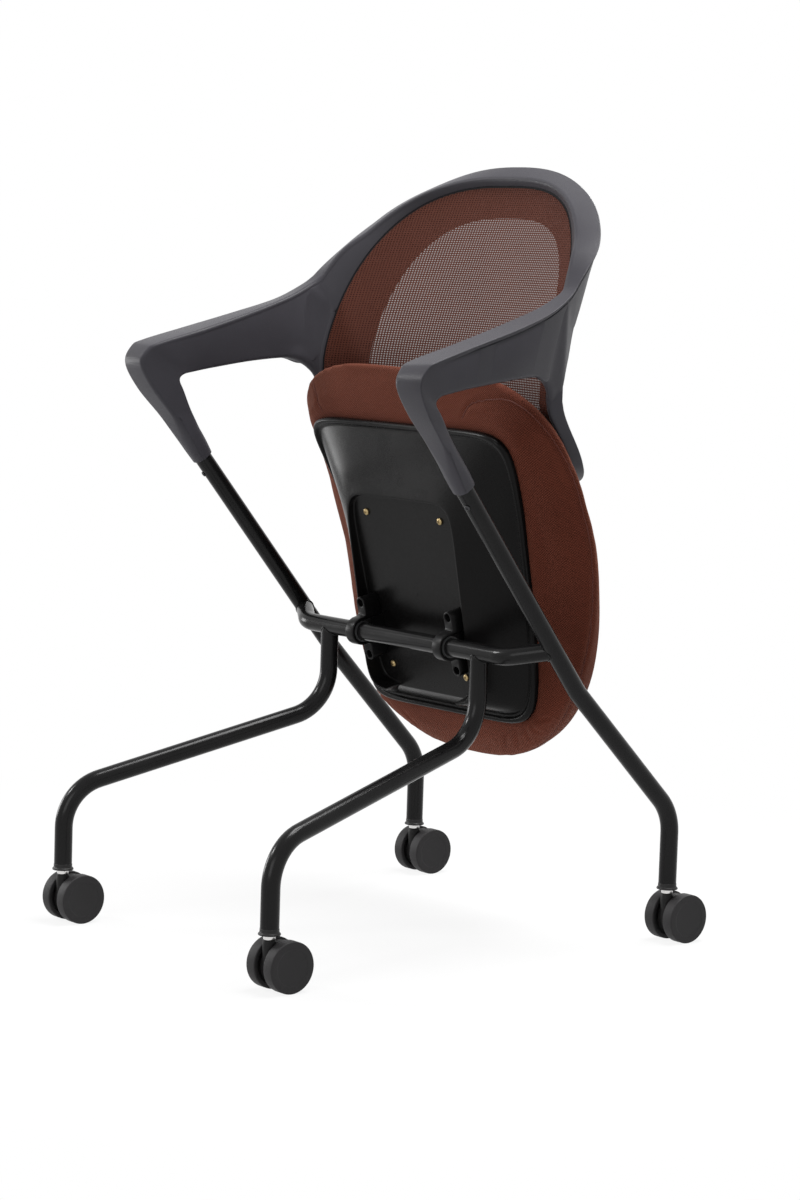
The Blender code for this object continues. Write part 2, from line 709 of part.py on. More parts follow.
def build_mesh_back(finishes):
    """The stretched mesh, the opaque lining behind its border, and the strip that holds both."""
    outer = CLEARANCE
    inner = outer + SPLINE_WIDTH
    front = -SPLINE_FRONT
    back = SPLINE_DEPTH - SPLINE_FRONT
    corners = ((outer, front), (inner, front), (inner, back), (outer, back))
    rings = [outline_ring(*corner) for corner in corners]
    add_object("mesh_spline", skin(rings, closed=True), finishes["spline"])

    edge = inner + CLEARANCE
    half = MESH_THICKNESS / 2
    front_rings = [shrunk_ring(edge, share, -half) for share in MESH_RING_SHARES]
    back_rings = [shrunk_ring(edge, share, half) for share in MESH_RING_SHARES]
    add_object("back_mesh", skin(front_rings[::-1] + back_rings), finishes["mesh"])

    insets = (LINING_SIDE, LINING_TOP, LINING_BOTTOM)
    front = LINING_SETBACK
    back = LINING_SETBACK + MESH_THICKNESS
    loop = (
        outline_ring(edge, front),
        outline_ring(insets[0], front + LINING_LEAN, *insets[1:]),
        outline_ring(insets[0], back + LINING_LEAN, *insets[1:]),
        outline_ring(edge, back),
    )
    add_object("mesh_lining", skin(loop, closed=True), finishes["lining"])


def shrunk_ring(inset, share, rearwards):
    """The opening's outline drawn in to a share of its size about the waist's middle."""
    ring = []
    for k in range(OUTLINE_STEPS):
        x, z = opening(outline_angle(k), inset)
        x *= share
        z = OPENING_WAIST_Z + (z - OPENING_WAIST_Z) * share
        ring.append(Vector((x, back_y(x, z) + rearwards, z)))
    return ring


# Seat


def cushion_angle(k):
    """Angle of one step round the cushion: 0 at the rear, +X at a quarter turn."""
    return 2 * math.pi * (k + 0.5) / CUSHION_STEPS


def cushion_outline(angle, inset, share=1.0):
    rear = math.cos(angle) >= 0
    reach = CUSHION_REAR if rear else CUSHION_FRONT
    power = CUSHION_REAR_POWER if rear else CUSHION_FRONT_POWER
    x, y = superellipse(angle, CUSHION_HALF_WIDTH - inset, reach - inset, power)
    return x * share, CUSHION_MIDDLE_Y + y * share


def front_drop(y):
    """How far the sitting side rolls down towards the front edge."""
    ahead = max(0.0, CUSHION_ROLL_START_Y - y)
    return CUSHION_FRONT_DROP * (ahead / (CUSHION_ROLL_START_Y - CUSHION_MIDDLE_Y + CUSHION_FRONT)) ** 1.7


def cushion_level(x, y, level):
    return Vector((x, y, CUSHION_BOTTOM_Z + level * (CUSHION_HEIGHT - front_drop(y))))


def cushion_rib(angle):
    """Points up the cushion's side: from the board over the pan's rim to the fullest, then the shoulder."""
    fullness, fullest = blended(CUSHION_SIDES, abs(math.degrees(math.remainder(angle, 2 * math.pi))))
    edge = Vector(cushion_outline(angle, 0.0))
    rim = pan_rim_place(angle, -CUSHION_RIM_MARGIN)
    inside = pan_rim_place(angle, PAN_RIM_WIDTH + 2 * CLEARANCE)
    core = pan_rim_place(angle, BOARD_MARGIN - CLEARANCE)
    rib = [Vector((core.x, core.y, CUSHION_BOTTOM_Z))]
    rib.append(Vector((inside.x, inside.y, pan_rim_level(inside.y) + CLEARANCE)))
    for t in (0, 0.12, 0.3, 0.55, 0.8, 1):
        place = edge.lerp(rim, (1 - t) ** fullness)
        point = cushion_level(place.x, place.y, fullest * t)
        point.z += (1 - t) ** 2 * (pan_rim_level(place.y) - BOARD_TOP_Z)
        rib.append(point)
    for turn in (0.45, 0.9, 1.3):
        x, y = cushion_outline(angle, CUSHION_SHOULDER * (1 - math.cos(turn)))
        rib.append(cushion_level(x, y, fullest + (1 - fullest) * math.sin(turn)))
    return rib


def build_cushion(finish, parent):
    """Padded seat: underside drawn in to the pan, full sides, crowned top that rolls down in front."""
    angles = [cushion_angle(k) for k in range(CUSHION_STEPS)]
    rings = [list(ring) for ring in zip(*[cushion_rib(angle) for angle in angles])]
    for share in (0.92, 0.75, 0.5, 0.25):
        crown = CUSHION_CROWN * (1 - share * share)
        top = CUSHION_BOTTOM_Z + CUSHION_HEIGHT + crown
        places = [cushion_outline(angle, CUSHION_SHOULDER, share) for angle in angles]
        rings.append([(x, y, top - front_drop(y)) for x, y in places])
    add_object("seat_cushion", skin(rings), finish, parent)


def pan_rim_place(angle, inset):
    """(x, y) on the pan's rim, which is wider in front than behind."""
    share = superellipse(angle, 1, 1, PAN_POWER)
    middle = (PAN_FRONT_Y + PAN_REAR_Y) / 2
    reach = (PAN_REAR_Y - PAN_FRONT_Y) / 2
    taper = (PAN_REAR_HALF_WIDTH - PAN_FRONT_HALF_WIDTH) / 2
    flare = (PAN_REAR_HALF_WIDTH + PAN_FRONT_HALF_WIDTH) / 2 - PAN_MIDDLE_HALF_WIDTH
    half = PAN_MIDDLE_HALF_WIDTH + taper * share[1] + flare * share[1] ** 2
    return Vector(((half - inset) * share[0], middle + (reach - inset) * share[1]))


def pan_rim_level(y):
    """Height of the pan's rim, which bows up between its ends."""
    middle = (PAN_FRONT_Y + PAN_REAR_Y) / 2
    reach = (PAN_REAR_Y - PAN_FRONT_Y) / 2
    return PAN_RIM_Z + PAN_BOW * max(0.0, 1 - ((y - middle) / reach) ** 2)


def plateau_wall(x, y):
    """How far the wall round the pan's middle stands out: more to the rear, none in the rear notch."""
    if y > (PLATEAU_FRONT_Y + 3 * PLATEAU_REAR_Y) / 4 and abs(x) < PLATEAU_NOTCH:
        return 0.0
    along = (y - PLATEAU_FRONT_Y) / (PLATEAU_REAR_Y - PLATEAU_FRONT_Y)
    return PLATEAU_FRONT_WALL + (PLATEAU_REAR_WALL - PLATEAU_FRONT_WALL) * along


def pan_outline(inset, depth, plateau=0.0, walled=1.0):
    """Ring round the pan, a depth below its rim (plateau 0) or below the wall or floor of its middle (1)."""
    ring = []
    inner_middle = (PLATEAU_FRONT_Y + PLATEAU_REAR_Y) / 2
    inner_reach = (PLATEAU_REAR_Y - PLATEAU_FRONT_Y) / 2
    for k in range(PAN_STEPS):
        angle = 2 * math.pi * (k + 0.5) / PAN_STEPS
        share = superellipse(angle, 1, 1, PAN_POWER)
        inner_half = PLATEAU_HALF_WIDTH - inset
        core = Vector((inner_half * share[0], inner_middle + (inner_reach - inset) * share[1]))
        rim = pan_rim_place(angle, inset)
        low = PLATEAU_Z - walled * plateau_wall(PLATEAU_HALF_WIDTH * share[0], core.y)
        high = pan_rim_level(rim.y)
        place = rim.lerp(core, plateau)
        ring.append((place.x, place.y, high + (low - high) * plateau - depth))
    return ring


def screw_places():
    """(x, y) of every screw up into the board: four through the pan, two through each clamp."""
    pan = [(sign * PAN_SCREW_X, y) for sign in (1, -1) for y in PAN_SCREW_Y]
    clamp = [(sign * CLAMP_X, y) for sign in (1, -1) for y in (-CLAMP_SCREW_Y, CLAMP_SCREW_Y)]
    return pan, clamp


def rods_at(places, low, high, radius):
    shape = bmesh.new()
    for x, y in places:
        ends = [circle((x, y, z), (0, 0, 1), radius, ROUND_STEPS // 2) for z in (low, high)]
        rings_to_shape(shape, ends)
    return shape


def build_pan(finishes, parent):
    """Dished cover under the seat: beaded rim, sloping flank, walled middle with bosses up to the board."""
    groove = PAN_RIM_HEIGHT - PAN_GROOVE
    flank = groove / 2 + PAN_WALL
    outer = (
        pan_outline(PLATEAU_WALL * 1.5, 0, 1, 0),
        pan_outline(PLATEAU_WALL, 0, 1),
        pan_outline(0, 0, 1),
        pan_outline(PAN_RIM_WIDTH, flank, 0.5),
        pan_outline(PAN_RIM_WIDTH + PAN_WALL, groove + PAN_WALL / 3),
        pan_outline(PAN_RIM_WIDTH, groove),
        pan_outline(PAN_RIM_WIDTH * 0.75, PAN_RIM_HEIGHT),
        pan_outline(PAN_RIM_WIDTH * 0.3, PAN_RIM_HEIGHT),
        pan_outline(0, PAN_RIM_HEIGHT - PAN_WALL),
        pan_outline(0, 0),
    )
    inner = (
        pan_outline(PAN_RIM_WIDTH, 0),
        pan_outline(PAN_RIM_WIDTH, groove - PAN_WALL / 2),
        pan_outline(PAN_RIM_WIDTH, flank - PAN_WALL * 1.25, 0.5),
        pan_outline(0, -PAN_WALL, 1, 0),
    )
    pan = add_object("seat_pan", skin(outer + inner), finishes["pan"], parent)
    pan_places, clamp_places = screw_places()
    places = pan_places + clamp_places
    boss_low = PLATEAU_Z + PAN_WALL / 2
    bosses = rods_at(places, boss_low, BOARD_BOTTOM_Z - CLEARANCE, BOSS_DIAMETER / 2)
    combine(pan, add_object("bosses", bosses, parent=parent), "UNION")
    hole = SCREW_DIAMETER / 2 + CLEARANCE
    holes = rods_at(places, 0, BOARD_TOP_Z, hole)
    combine(pan, add_object("holes", holes, parent=parent), "DIFFERENCE")

    outline = [pan_rim_place(cushion_angle(k), BOARD_MARGIN) for k in range(CUSHION_STEPS)]
    rings = [[(place.x, place.y, z) for place in outline] for z in (BOARD_BOTTOM_Z, BOARD_TOP_Z)]
    board = add_object("seat_board", skin(rings), finishes["board"], parent)
    holes = rods_at(places, 0, BOARD_BOTTOM_Z + SCREW_BITE + CLEARANCE, hole)
    combine(board, add_object("holes", holes, parent=parent), "DIFFERENCE")


def add_screws(kind, places, head_top, finish, parent):
    """Round-headed screws driven upwards, from under their seats into the board."""
    tip = BOARD_BOTTOM_Z + SCREW_BITE
    head = SCREW_HEAD_DIAMETER / 2
    profile = (
        (head_top - SCREW_HEAD_HEIGHT, head * 0.7),
        (head_top - SCREW_HEAD_HEIGHT / 2, head),
        (head_top, head),
        (head_top, SCREW_DIAMETER / 2),
        (tip, SCREW_DIAMETER / 2),
    )
    for x, y in places:
        corner = ("front" if y < 0 else "rear") + ("_left" if x > 0 else "_right")
        rings = [circle((x, y, z), (0, 0, 1), radius, ROUND_STEPS // 2) for z, radius in profile]
        add_object(f"{corner}_{kind}", skin(rings), finish, parent)


def arc(radius, start, end, steps=ROUND_STEPS // 2):
    turns = [start + (end - start) * k / steps for k in range(steps + 1)]
    return [(radius * math.cos(t), radius * math.sin(t)) for t in turns]


def clamp_outline():
    """Side view of the hinge clamp as (y, z): a strap round the bush with an ear at either end."""
    top = PLATEAU_Z - CLEARANCE
    strap = CLAMP_BORE + CLAMP_WALL
    ear = [
        (CLAMP_EAR_Y, top),
        (CLAMP_EAR_Y, CLAMP_EAR_Z + CLAMP_EDGE),
        (CLAMP_EAR_Y - CLAMP_EDGE, CLAMP_EAR_Z),
        (strap + CLAMP_EDGE, CLAMP_EAR_Z),
        (strap, CLAMP_EAR_Z - CLAMP_EDGE),
    ]
    other = [(-y, z) for y, z in reversed(ear)]
    outside = ear + arc(strap, 0, -math.pi) + other
    inside = [(-CLAMP_BORE, top)] + arc(CLAMP_BORE, -math.pi, 0) + [(CLAMP_BORE, top)]
    return outside + inside


def build_hinges(finishes, parent):
    """Two clamps that hang the seat on the crossbar, each with a bush and a packing block."""
    top = PLATEAU_Z - CLEARANCE
    half = CLAMP_WIDTH / 2
    for side, sign in (("left", 1), ("right", -1)):
        x = sign * CLAMP_X
        rings = [[(x + end, y, z) for y, z in clamp_outline()] for end in (-half, half)]
        clamp = add_object(side + "_hinge_clamp", skin(rings), finishes["clamp"], parent)
        places = [(x, -CLAMP_SCREW_Y), (x, CLAMP_SCREW_Y)]
        holes = rods_at(places, 0, PAN_RIM_Z, SCREW_DIAMETER / 2 + CLEARANCE)
        combine(clamp, add_object("holes", holes, parent=parent), "DIFFERENCE")
        bores = rods_at(places, 0, CLAMP_EAR_Z + CLAMP_COUNTERBORE, SCREW_HEAD_DIAMETER / 2 + RUNNING_GAP)
        combine(clamp, add_object("bores", bores, parent=parent), "DIFFERENCE")

        ends = [((x + end, 0, 0), radius) for end in (-half, half) for radius in (0, 1)]
        radii = (TUBE_RADIUS + CLEARANCE, BUSH_OUTER)
        loop = [ends[0], ends[1], ends[3], ends[2]]
        rings = [circle(centre, (1, 0, 0), radii[k], 2 * ROUND_STEPS) for centre, k in loop]
        add_object(side + "_hinge_bush", skin(rings, closed=True), finishes["bush"], parent)

        wide = CLAMP_BORE - CLEARANCE
        low = BUSH_OUTER + CLEARANCE
        block = [(-wide, low), (wide, low), (wide, top), (-wide, top)]
        rings = [[(x + end, y, z) for y, z in block] for end in (-half, half)]
        add_object(side + "_hinge_packing", skin(rings), finishes["clamp"], parent)


def build_seat(finishes):
    pivot = add_empty("seat_pivot", PIVOT)
    pivot.rotation_euler = (-SEAT_FOLD, 0, 0)
    build_cushion(finishes["fabric"], pivot)
    build_pan(finishes, pivot)
    build_hinges(finishes, pivot)
    pan_places, clamp_places = screw_places()
    add_screws("pan_screw", pan_places, PLATEAU_Z - CLEARANCE, finishes["brass"], pivot)
    clamp_seat = CLAMP_EAR_Z + CLAMP_COUNTERBORE - CLEARANCE
    add_screws("clamp_screw", clamp_places, clamp_seat, finishes["steel"], pivot)


def main():
    clear_scene()
    finishes = {
        "tube": material("black_tube", (0.012, 0.012, 0.013), 0.32),
        "moulding": material("charcoal_moulding", (0.030, 0.030, 0.036), 0.55),
        "mesh": material("rust_mesh", (0.20, 0.075, 0.045), 0.85),
        "lining": material("rust_lining", (0.14, 0.045, 0.028), 0.90),
        "spline": material("black_spline", (0.010, 0.010, 0.011), 0.60),
        "fabric": material("rust_fabric", (0.16, 0.050, 0.030), 0.90),
        "board": material("plywood", (0.45, 0.30, 0.17), 0.70),
        "pan": material("black_pan", (0.012, 0.012, 0.013), 0.40),
        "clamp": material("black_clamp", (0.010, 0.010, 0.011), 0.45),
        "bush": material("bush_plastic", (0.05, 0.05, 0.05), 0.40),
        "brass": material("brassed_steel", (0.60, 0.45, 0.22), 0.30, 1.0),
        "steel": material("plain_steel", (0.45, 0.45, 0.46), 0.35, 1.0),
        "chrome": material("chromed_steel", (0.80, 0.80, 0.81), 0.12, 1.0),
        "bushing": material("black_ferrule", (0.012, 0.012, 0.013), 0.50),
        "housing": material("castor_body", (0.016, 0.016, 0.017), 0.50),
        "wheel": material("castor_tread", (0.022, 0.022, 0.024), 0.60),
    }
    build_frame(finishes["tube"], finishes["steel"])
    build_back_frame(finishes["moulding"])
    build_mesh_back(finishes)
    build_seat(finishes)
    build_castors(finishes)


main()
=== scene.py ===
"""Looks of the nesting chair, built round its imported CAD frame. Metres, +Z up, chair facing -Y."""

import math

import bmesh
import bpy
import numpy as np
from mathutils import Matrix, Vector
from mathutils.bvhtree import BVHTree
from mathutils.kdtree import KDTree


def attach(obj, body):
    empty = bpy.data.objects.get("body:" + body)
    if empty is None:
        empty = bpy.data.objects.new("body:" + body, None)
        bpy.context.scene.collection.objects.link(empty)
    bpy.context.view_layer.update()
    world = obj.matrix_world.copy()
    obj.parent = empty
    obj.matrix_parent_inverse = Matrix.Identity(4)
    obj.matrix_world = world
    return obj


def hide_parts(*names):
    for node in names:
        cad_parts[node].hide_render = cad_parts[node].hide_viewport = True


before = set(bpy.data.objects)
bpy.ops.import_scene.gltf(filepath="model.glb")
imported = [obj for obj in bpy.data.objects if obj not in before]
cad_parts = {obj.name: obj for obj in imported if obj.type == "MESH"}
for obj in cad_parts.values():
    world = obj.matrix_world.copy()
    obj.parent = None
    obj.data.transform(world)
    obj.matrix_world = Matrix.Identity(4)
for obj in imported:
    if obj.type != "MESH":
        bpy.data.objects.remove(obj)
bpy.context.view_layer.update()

# Camera, fitted to the photograph
CAMERA_AZIMUTH = math.radians(51.40)
CAMERA_ELEVATION = math.radians(6.24)
CAMERA_ROLL = math.radians(1.83)
CAMERA_DISTANCE = 3.848
CAMERA_TARGET = (0.0, -0.016, 0.4084)
CAMERA_SIDESTEP = 0.0423
CAMERA_LENS = 95.0
CAMERA_SENSOR = 36.0
CAMERA_FAR = 60.0

# Studio: each lamp's place, the height it is aimed at, its size and its power
LAMPS = {
    "key": ((-2.2, -2.0, 2.4), 0.55, 0.6, 44.0),
    "fill": ((1.2, -2.9, 1.5), 0.5, 1.6, 23.0),
    "top": ((0.4, 0.5, 3.0), 0.6, 1.4, 106.0),
    "side": ((-2.8, -1.0, 0.6), 0.5, 0.9, 21.0),
    "rim": ((-1.0, 2.3, 2.4), 0.5, 0.5, 20.0),
}
WHITE = (1, 1, 1, 1)
AMBIENT = 0.12
FLOOR_HALF_SIZE = 14.0
FLOOR_Z = -0.0002
FLOOR_COLOUR = (0.86, 0.86, 0.86)
# Distance and share of white, where the floor's shadow starts to fade and where it ends
FLOOR_GLARE = (0.45, 1.15, 0.88, 1.0)

# Frame tube
TUBE_RADIUS = 0.011
TUBE_SIDES = 40
BEND_STEPS = 16
LEG_BEND_RADIUS = 0.060
FRONT_FOOT = (0.2145, -0.3045)
FRONT_LOWER_BEND_Z = 0.164
FRONT_UPPER_BEND = (0.1475, 0.2555)
REAR_FOOT = (0.2475, 0.2725)
REAR_LOWER_BEND_Z = 0.160
REAR_MID_BEND = (0.2416, 0.118, 0.3167)
ARM_JOINT = (0.2589, -0.0812, 0.5646)
PIVOT_Y = 0.044
PIVOT_Z = 0.357
CROSSBAR_BEND_X = 0.195
CROSSBAR_BEND_RADIUS = 0.045
CROSSBAR_END_Z = 0.3686
TUBE_FOOT_Z = 0.0693
WELD_RADIUS = 0.0012
WELD_STEPS = 48
WELD_SIDES = 10
WELD_WRAP = 0.92

# Gap left between pieces that touch
CLEARANCE = 0.0003

# Castors
WHEEL_RADIUS = 0.030
WHEEL_WIDTH = 0.0155
CASTOR_TRAIL = 0.016
HOUSING_HALF_WIDTH = 0.008
DRUM_RADIUS = 0.0225
HOOD_RADIUS = 0.0275
HOUSING_TOP_Z = 0.060
WHEEL_INNER_FACE = 0.0085
FERRULE_Z = 0.0655
AXLE_PLACE = Vector((0, CASTOR_TRAIL, WHEEL_RADIUS))
# Profiles to be turned: distance along the axis and radius
WHEEL_PROFILE = (
    (0.004, 0.0), (0.0, 0.0035), (0.0, 0.008), (0.006, 0.0084), (0.006, 0.0238), (0.0, 0.0242),
    (0.0, WHEEL_RADIUS), (WHEEL_WIDTH, WHEEL_RADIUS), (WHEEL_WIDTH, 0.0215),
    (WHEEL_WIDTH - CLEARANCE, 0.0210), (WHEEL_WIDTH - CLEARANCE, 0.0),
)
BOSS_PROFILE = (
    (WHEEL_RADIUS, 0.0068), (HOUSING_TOP_Z - 0.006, 0.0078), (HOUSING_TOP_Z, 0.0072), (HOUSING_TOP_Z, 0.005),
)
FERRULE_PROFILE = (
    (FERRULE_Z, 0.0053), (FERRULE_Z, 0.0130), (FERRULE_Z + 0.0016, 0.0130), (FERRULE_Z + 0.0034, 0.0113),
    (FERRULE_Z + 0.0075, 0.01125), (FERRULE_Z + 0.0078, 0.0100),
)
STEM_PROFILE = (
    (HOUSING_TOP_Z - 0.02, 0.005), (HOUSING_TOP_Z + CLEARANCE, 0.005), (HOUSING_TOP_Z + CLEARANCE, 0.0070),
    (FERRULE_Z - CLEARANCE, 0.0070), (FERRULE_Z - CLEARANCE, 0.005), (FERRULE_Z + 0.03, 0.005),
)
# Stations across the housing: share of its half width, inset of the edge
HOUSING_EDGES = ((-1.0, 0.0012), (-0.97, 0.0006), (-0.88, 0.0), (0.88, 0.0), (0.97, 0.0006), (1.0, 0.0012))
HOUSING_STEPS = 144
HOOD_START = (6, 11)
HOOD_END = (124, 119)
WHEEL_EDGE = 0.0016
BOSS_EDGE = 0.0012
FERRULE_EDGE = 0.0007
STEM_EDGE = 0.0008
WHEEL_SIDES = 72
FERRULE_SIDES = 56
STEM_SIDES = 48

# Back surface, mesh opening and moulding sections
BACK_BEND_Y = 0.0800
BACK_BEND_Z = 0.650
BACK_BEND_ROUNDING = 0.050
BACK_UPPER_SLOPE = 0.40
BACK_LOWER_SLOPE = 1.05
BACK_WRAP = 0.838
BACK_UNWRAP_HEIGHT = 0.080
OPENING_HALF_WIDTH = 0.218
OPENING_TOP_Z = 0.914
OPENING_WAIST_Z = 0.680
OPENING_BOTTOM_Z = 0.573
OPENING_UPPER_POWER = 2.8
OPENING_LOWER_POWER = 5.0
OUTLINE_STEPS = 224
OUTLINE_NUDGE = 0.01
SLOPE_STEP = 0.001
MESH_EDGE = 0.0024
MESH_CENTRE = 0.02
MESH_RINGS = 40
LINING_RINGS = 12
LINING_INSETS = (0.052, 0.040, 0.030)
LINING_SETBACK = 0.0083
LINING_LEAN = 0.010
LINING_FLARE = 0.034
# Gasket section: inset from the opening's edge and distance behind the surface
GASKET_CORNERS = ((-0.0018, 0.0006), (0.0053, 0.0006), (0.0053, 0.010), (-0.0018, 0.010))
GASKET_EDGES = (0.0003, 0.0014, 0.0014, 0.0003)
HOOP_SECTIONS = (
    (0.0, (0.0244, 0.014, 0.0), (0.009, -0.005, 0.0), (0.008, 0.022, 0.0)),
    (28.0, (0.0225, 0.020, 0.0), (0.011, -0.006, 0.0), (0.0095, 0.0225, 0.0)),
    (52.0, (0.037, 0.0195, 0.0065), (0.017, -0.009, 0.0), (0.021, 0.0245, 0.0)),
    (63.0, (0.0462, 0.0105, 0.0104), (0.024, -0.015, 0.010), (0.022, 0.016, 0.0)),
    (78.0, (0.046, -0.009, 0.034), (0.024, -0.012, 0.036), (0.013, 0.013, -0.010)),
)
LOWER_RING_SECTION = ((0.0, 0.0), (0.003, -0.004), (0.010, -0.005), (0.010, 0.019))
ARM_SECTIONS = (
    ((0.2805, -0.1265, 0.608), (0.2487, -0.1275, 0.609), (0.246, -0.102, 0.616), (0.2755, -0.110, 0.616)),
    ((0.290, -0.161, 0.649), (0.251, -0.163, 0.650), (0.246, -0.118, 0.648), (0.284, -0.135, 0.646)),
    ((0.295, -0.1775, 0.681), (0.2525, -0.181, 0.681), (0.246, -0.1245, 0.661), (0.286, -0.1465, 0.661)),
    ((0.296, -0.168, 0.702), (0.250, -0.174, 0.699), (0.246, -0.119, 0.668), (0.287, -0.142, 0.669)),
    ((0.2955, -0.150, 0.7105), (0.246, -0.155, 0.709), (0.2457, -0.104, 0.6715), (0.285, -0.126, 0.673)),
    ((0.2882, -0.089, 0.728), (0.2413, -0.088, 0.728), (0.2435, -0.074, 0.677), (0.280, -0.086, 0.6795)),
    ((0.2812, -0.025, 0.746), (0.239, -0.019, 0.750), (0.2395, -0.017, 0.686), (0.268, -0.020, 0.687)),
    ((0.270, 0.031, 0.764), (0.2385, 0.034, 0.769), (0.233, 0.038, 0.691), (0.253, 0.027, 0.6895)),
    ((0.262, 0.0656, 0.782), (0.2375, 0.066, 0.785), (0.222, 0.067, 0.688), (0.239, 0.060, 0.687)),
)
SHOULDER_ANGLE = math.radians(HOOP_SECTIONS[-1][0])
HOOP_RIM_FADE = (25, 50)
ARM_RIM_FADE = (4.5, 6.0)
LUG_FADE = (95, 120)
LUG_DROP = 0.011
FINE_EDGE = 0.0006
ARM_STEPS = 8
ARM_EDGE = 0.0050
ARM_CREASE = 0.0018
SLEEVE_LENGTH = 1.15
SLEEVE_SWELL = 0.14
ARM_END_LIP = 0.0015
CORNER_STEPS = 6
CORNER_LIMIT = 0.47
RIM_HEIGHT = 0.0052
RIM_LIP = 0.0022
RIM_FOOT_HEIGHT = 0.0065
RIM_FOOT_LIP = 0.00088
RIM_LINE = 0.0062
RIM_LINE_END = 0.00744
RIM_LINE_DEPTH = 0.0004
ROOT_SECTION = ((0.004, -0.003), (0.010, -0.005), (0.010, 0.018))
ROOT_END = math.radians(90.1)
SHOULDER_LINE = ((0.243, 0.020, 0.690), (0.232, 0.066, 0.690), (0.240, 0.072, 0.730), (0.245, 0.078, 0.770))
SHOULDER_RIM_END = (0.2560, 0.092, 0.802)
SHOULDER_VOXEL = 0.0015
SHOULDER_STEP = 0.002
SHOULDER_REACH = 0.042
SHOULDER_CORE = 0.01575
SHOULDER_RIM_FADE = (0.007, 0.015)
SHOULDER_ROUNDS = 36
SHOULDER_SINK = 0.0006
WEB_CONTROLS = (
    ((0.2520, 0.024, 0.6896), (0.2370, 0.0640, 0.6866)),
    ((0.2332, 0.030, 0.6908), (0.2220, 0.0670, 0.6880)),
)
WEB_END = math.radians(91.5)
WEB_DEPTH = (0.0, 0.010, 0.012)
WEB_STEPS = 14
WEB_EDGE = 0.004

# Seat, in its own frame: hinge axis at the origin, front towards -Y, sitting side +Z
SEAT_FOLD = math.radians(75.3)
SEAT_FRAME = Matrix.Translation((0, PIVOT_Y, PIVOT_Z)) @ Matrix.Rotation(-SEAT_FOLD, 4, "X")
CUSHION_HALF_WIDTH = 0.2425
CUSHION_MIDDLE_Y = -0.147
CUSHION_FRONT = 0.183
CUSHION_REAR = 0.326
CUSHION_FRONT_POWER = 3.75
CUSHION_REAR_POWER = 2.57
CUSHION_BOTTOM_Z = 0.0663
CUSHION_HEIGHT = 0.0675
CUSHION_CROWN = 0.006
CUSHION_RIM_MARGIN = 0.004
CUSHION_SHOULDER = 0.018
CUSHION_FRONT_DROP = 0.056
CUSHION_ROLL_START_Y = -0.090
CUSHION_ROLL_POWER = 1.7
CUSHION_TURN = 1.3
CUSHION_TUCK = 0.001
CUSHION_SIDE_RINGS = 25
CUSHION_SIDE_SPACING = 1.4
CUSHION_TOP_RINGS = (0.95, 0.88, 0.75, 0.6, 0.42, 0.22)
CUSHION_SIDES = (
    (0.0, (6.0, 0.32)),
    (45.0, (3.2, 0.34)),
    (90.0, (1.15, 0.80)),
    (135.0, (3.1, 0.44)),
    (180.0, (3.3, 0.42)),
)
SEAMS = {
    1: ((174, 0.04), (167, 0.15), (157, 0.225), (145, 0.35), (133, 0.55), (123, 0.75), (111, 0.90), (95, 1.0),
        (70, 1.0), (40, 0.95), (14, 0.85)),
    -1: ((157, 0.02), (148, 0.12), (141, 0.35), (136, 0.70), (128, 0.86), (111, 0.93), (95, 1.0),
         (70, 1.0), (40, 0.95), (14, 0.85)),
}
CUSHION_STEPS = 120
CUSHION_SLACK = 0.0006
SEAM_RADIUS = 0.0007
CUSHION_SWELL = 0.0048
SWELL_ROUNDS = 40
CUSHION_SPREAD = 1.015
CUSHION_VOXEL = 0.005
HELD_BAND = 0.004
CLOTH = {
    "quality": 6,
    "mass": 0.25,
    "tension_stiffness": 18.0,
    "compression_stiffness": 18.0,
    "shear_stiffness": 6.0,
    "bending_stiffness": 3.0,
    "use_pressure": True,
    "uniform_pressure_force": 4.0,
}
CLOTH_FRAMES = 20
# Bearing in degrees and length of each tuck, and how far it leans
PLEATS = ((9, 0.30), (16, 0.24), (25, 0.36), (33, 0.28), (43, 0.22), (-12, 0.3), (-24, 0.34), (-37, 0.26))
PLEAT_LEAN = 5
PLEAT_START = 0.02
PLEAT_POINTS = 14
SEAM_POINTS = 240
# Groove depth and width, then the ridge beside it by height, distance off and width
SEAM_PRESS = (0.0019, 0.0024, 0.0005, 0.0075, 0.0045)
PLEAT_PRESS = (0.0016, 0.0026, 0.0004, 0.006, 0.003)
PRESS_FADE = (0.001, 0.004)

# Seat pan, screws and hinge clamps, in the seat's frame
PAN_FRONT_HALF_WIDTH = 0.2010
PAN_MIDDLE_HALF_WIDTH = 0.1667
PAN_REAR_HALF_WIDTH = 0.1667
PAN_FRONT_Y = -0.2592
PAN_REAR_Y = 0.1127
PAN_MIDDLE_Y = (PAN_FRONT_Y + PAN_REAR_Y) / 2
PAN_REACH = (PAN_REAR_Y - PAN_FRONT_Y) / 2
PAN_POWER = 8.5
PAN_STEPS = 220
PAN_RIM_Z = 0.057
PAN_BOW = 0.027
PAN_RIM_HEIGHT = 0.0095
PAN_RIM_WIDTH = 0.008
PAN_WALL = 0.0032
PAN_GROOVE = 0.003
PLATEAU_HALF_WIDTH = 0.104
PLATEAU_FRONT_Y = -0.1735
PLATEAU_REAR_Y = 0.081
PLATEAU_MIDDLE_Y = (PLATEAU_FRONT_Y + PLATEAU_REAR_Y) / 2
PLATEAU_REACH = (PLATEAU_REAR_Y - PLATEAU_FRONT_Y) / 2
PLATEAU_Z = 0.033
PLATEAU_WALL = 0.0024
PLATEAU_FRONT_WALL = 0.0062
PLATEAU_REAR_WALL = 0.022
PLATEAU_NOTCH = (0.068, 0.0695)
PLATEAU_NOTCH_START = 0.75
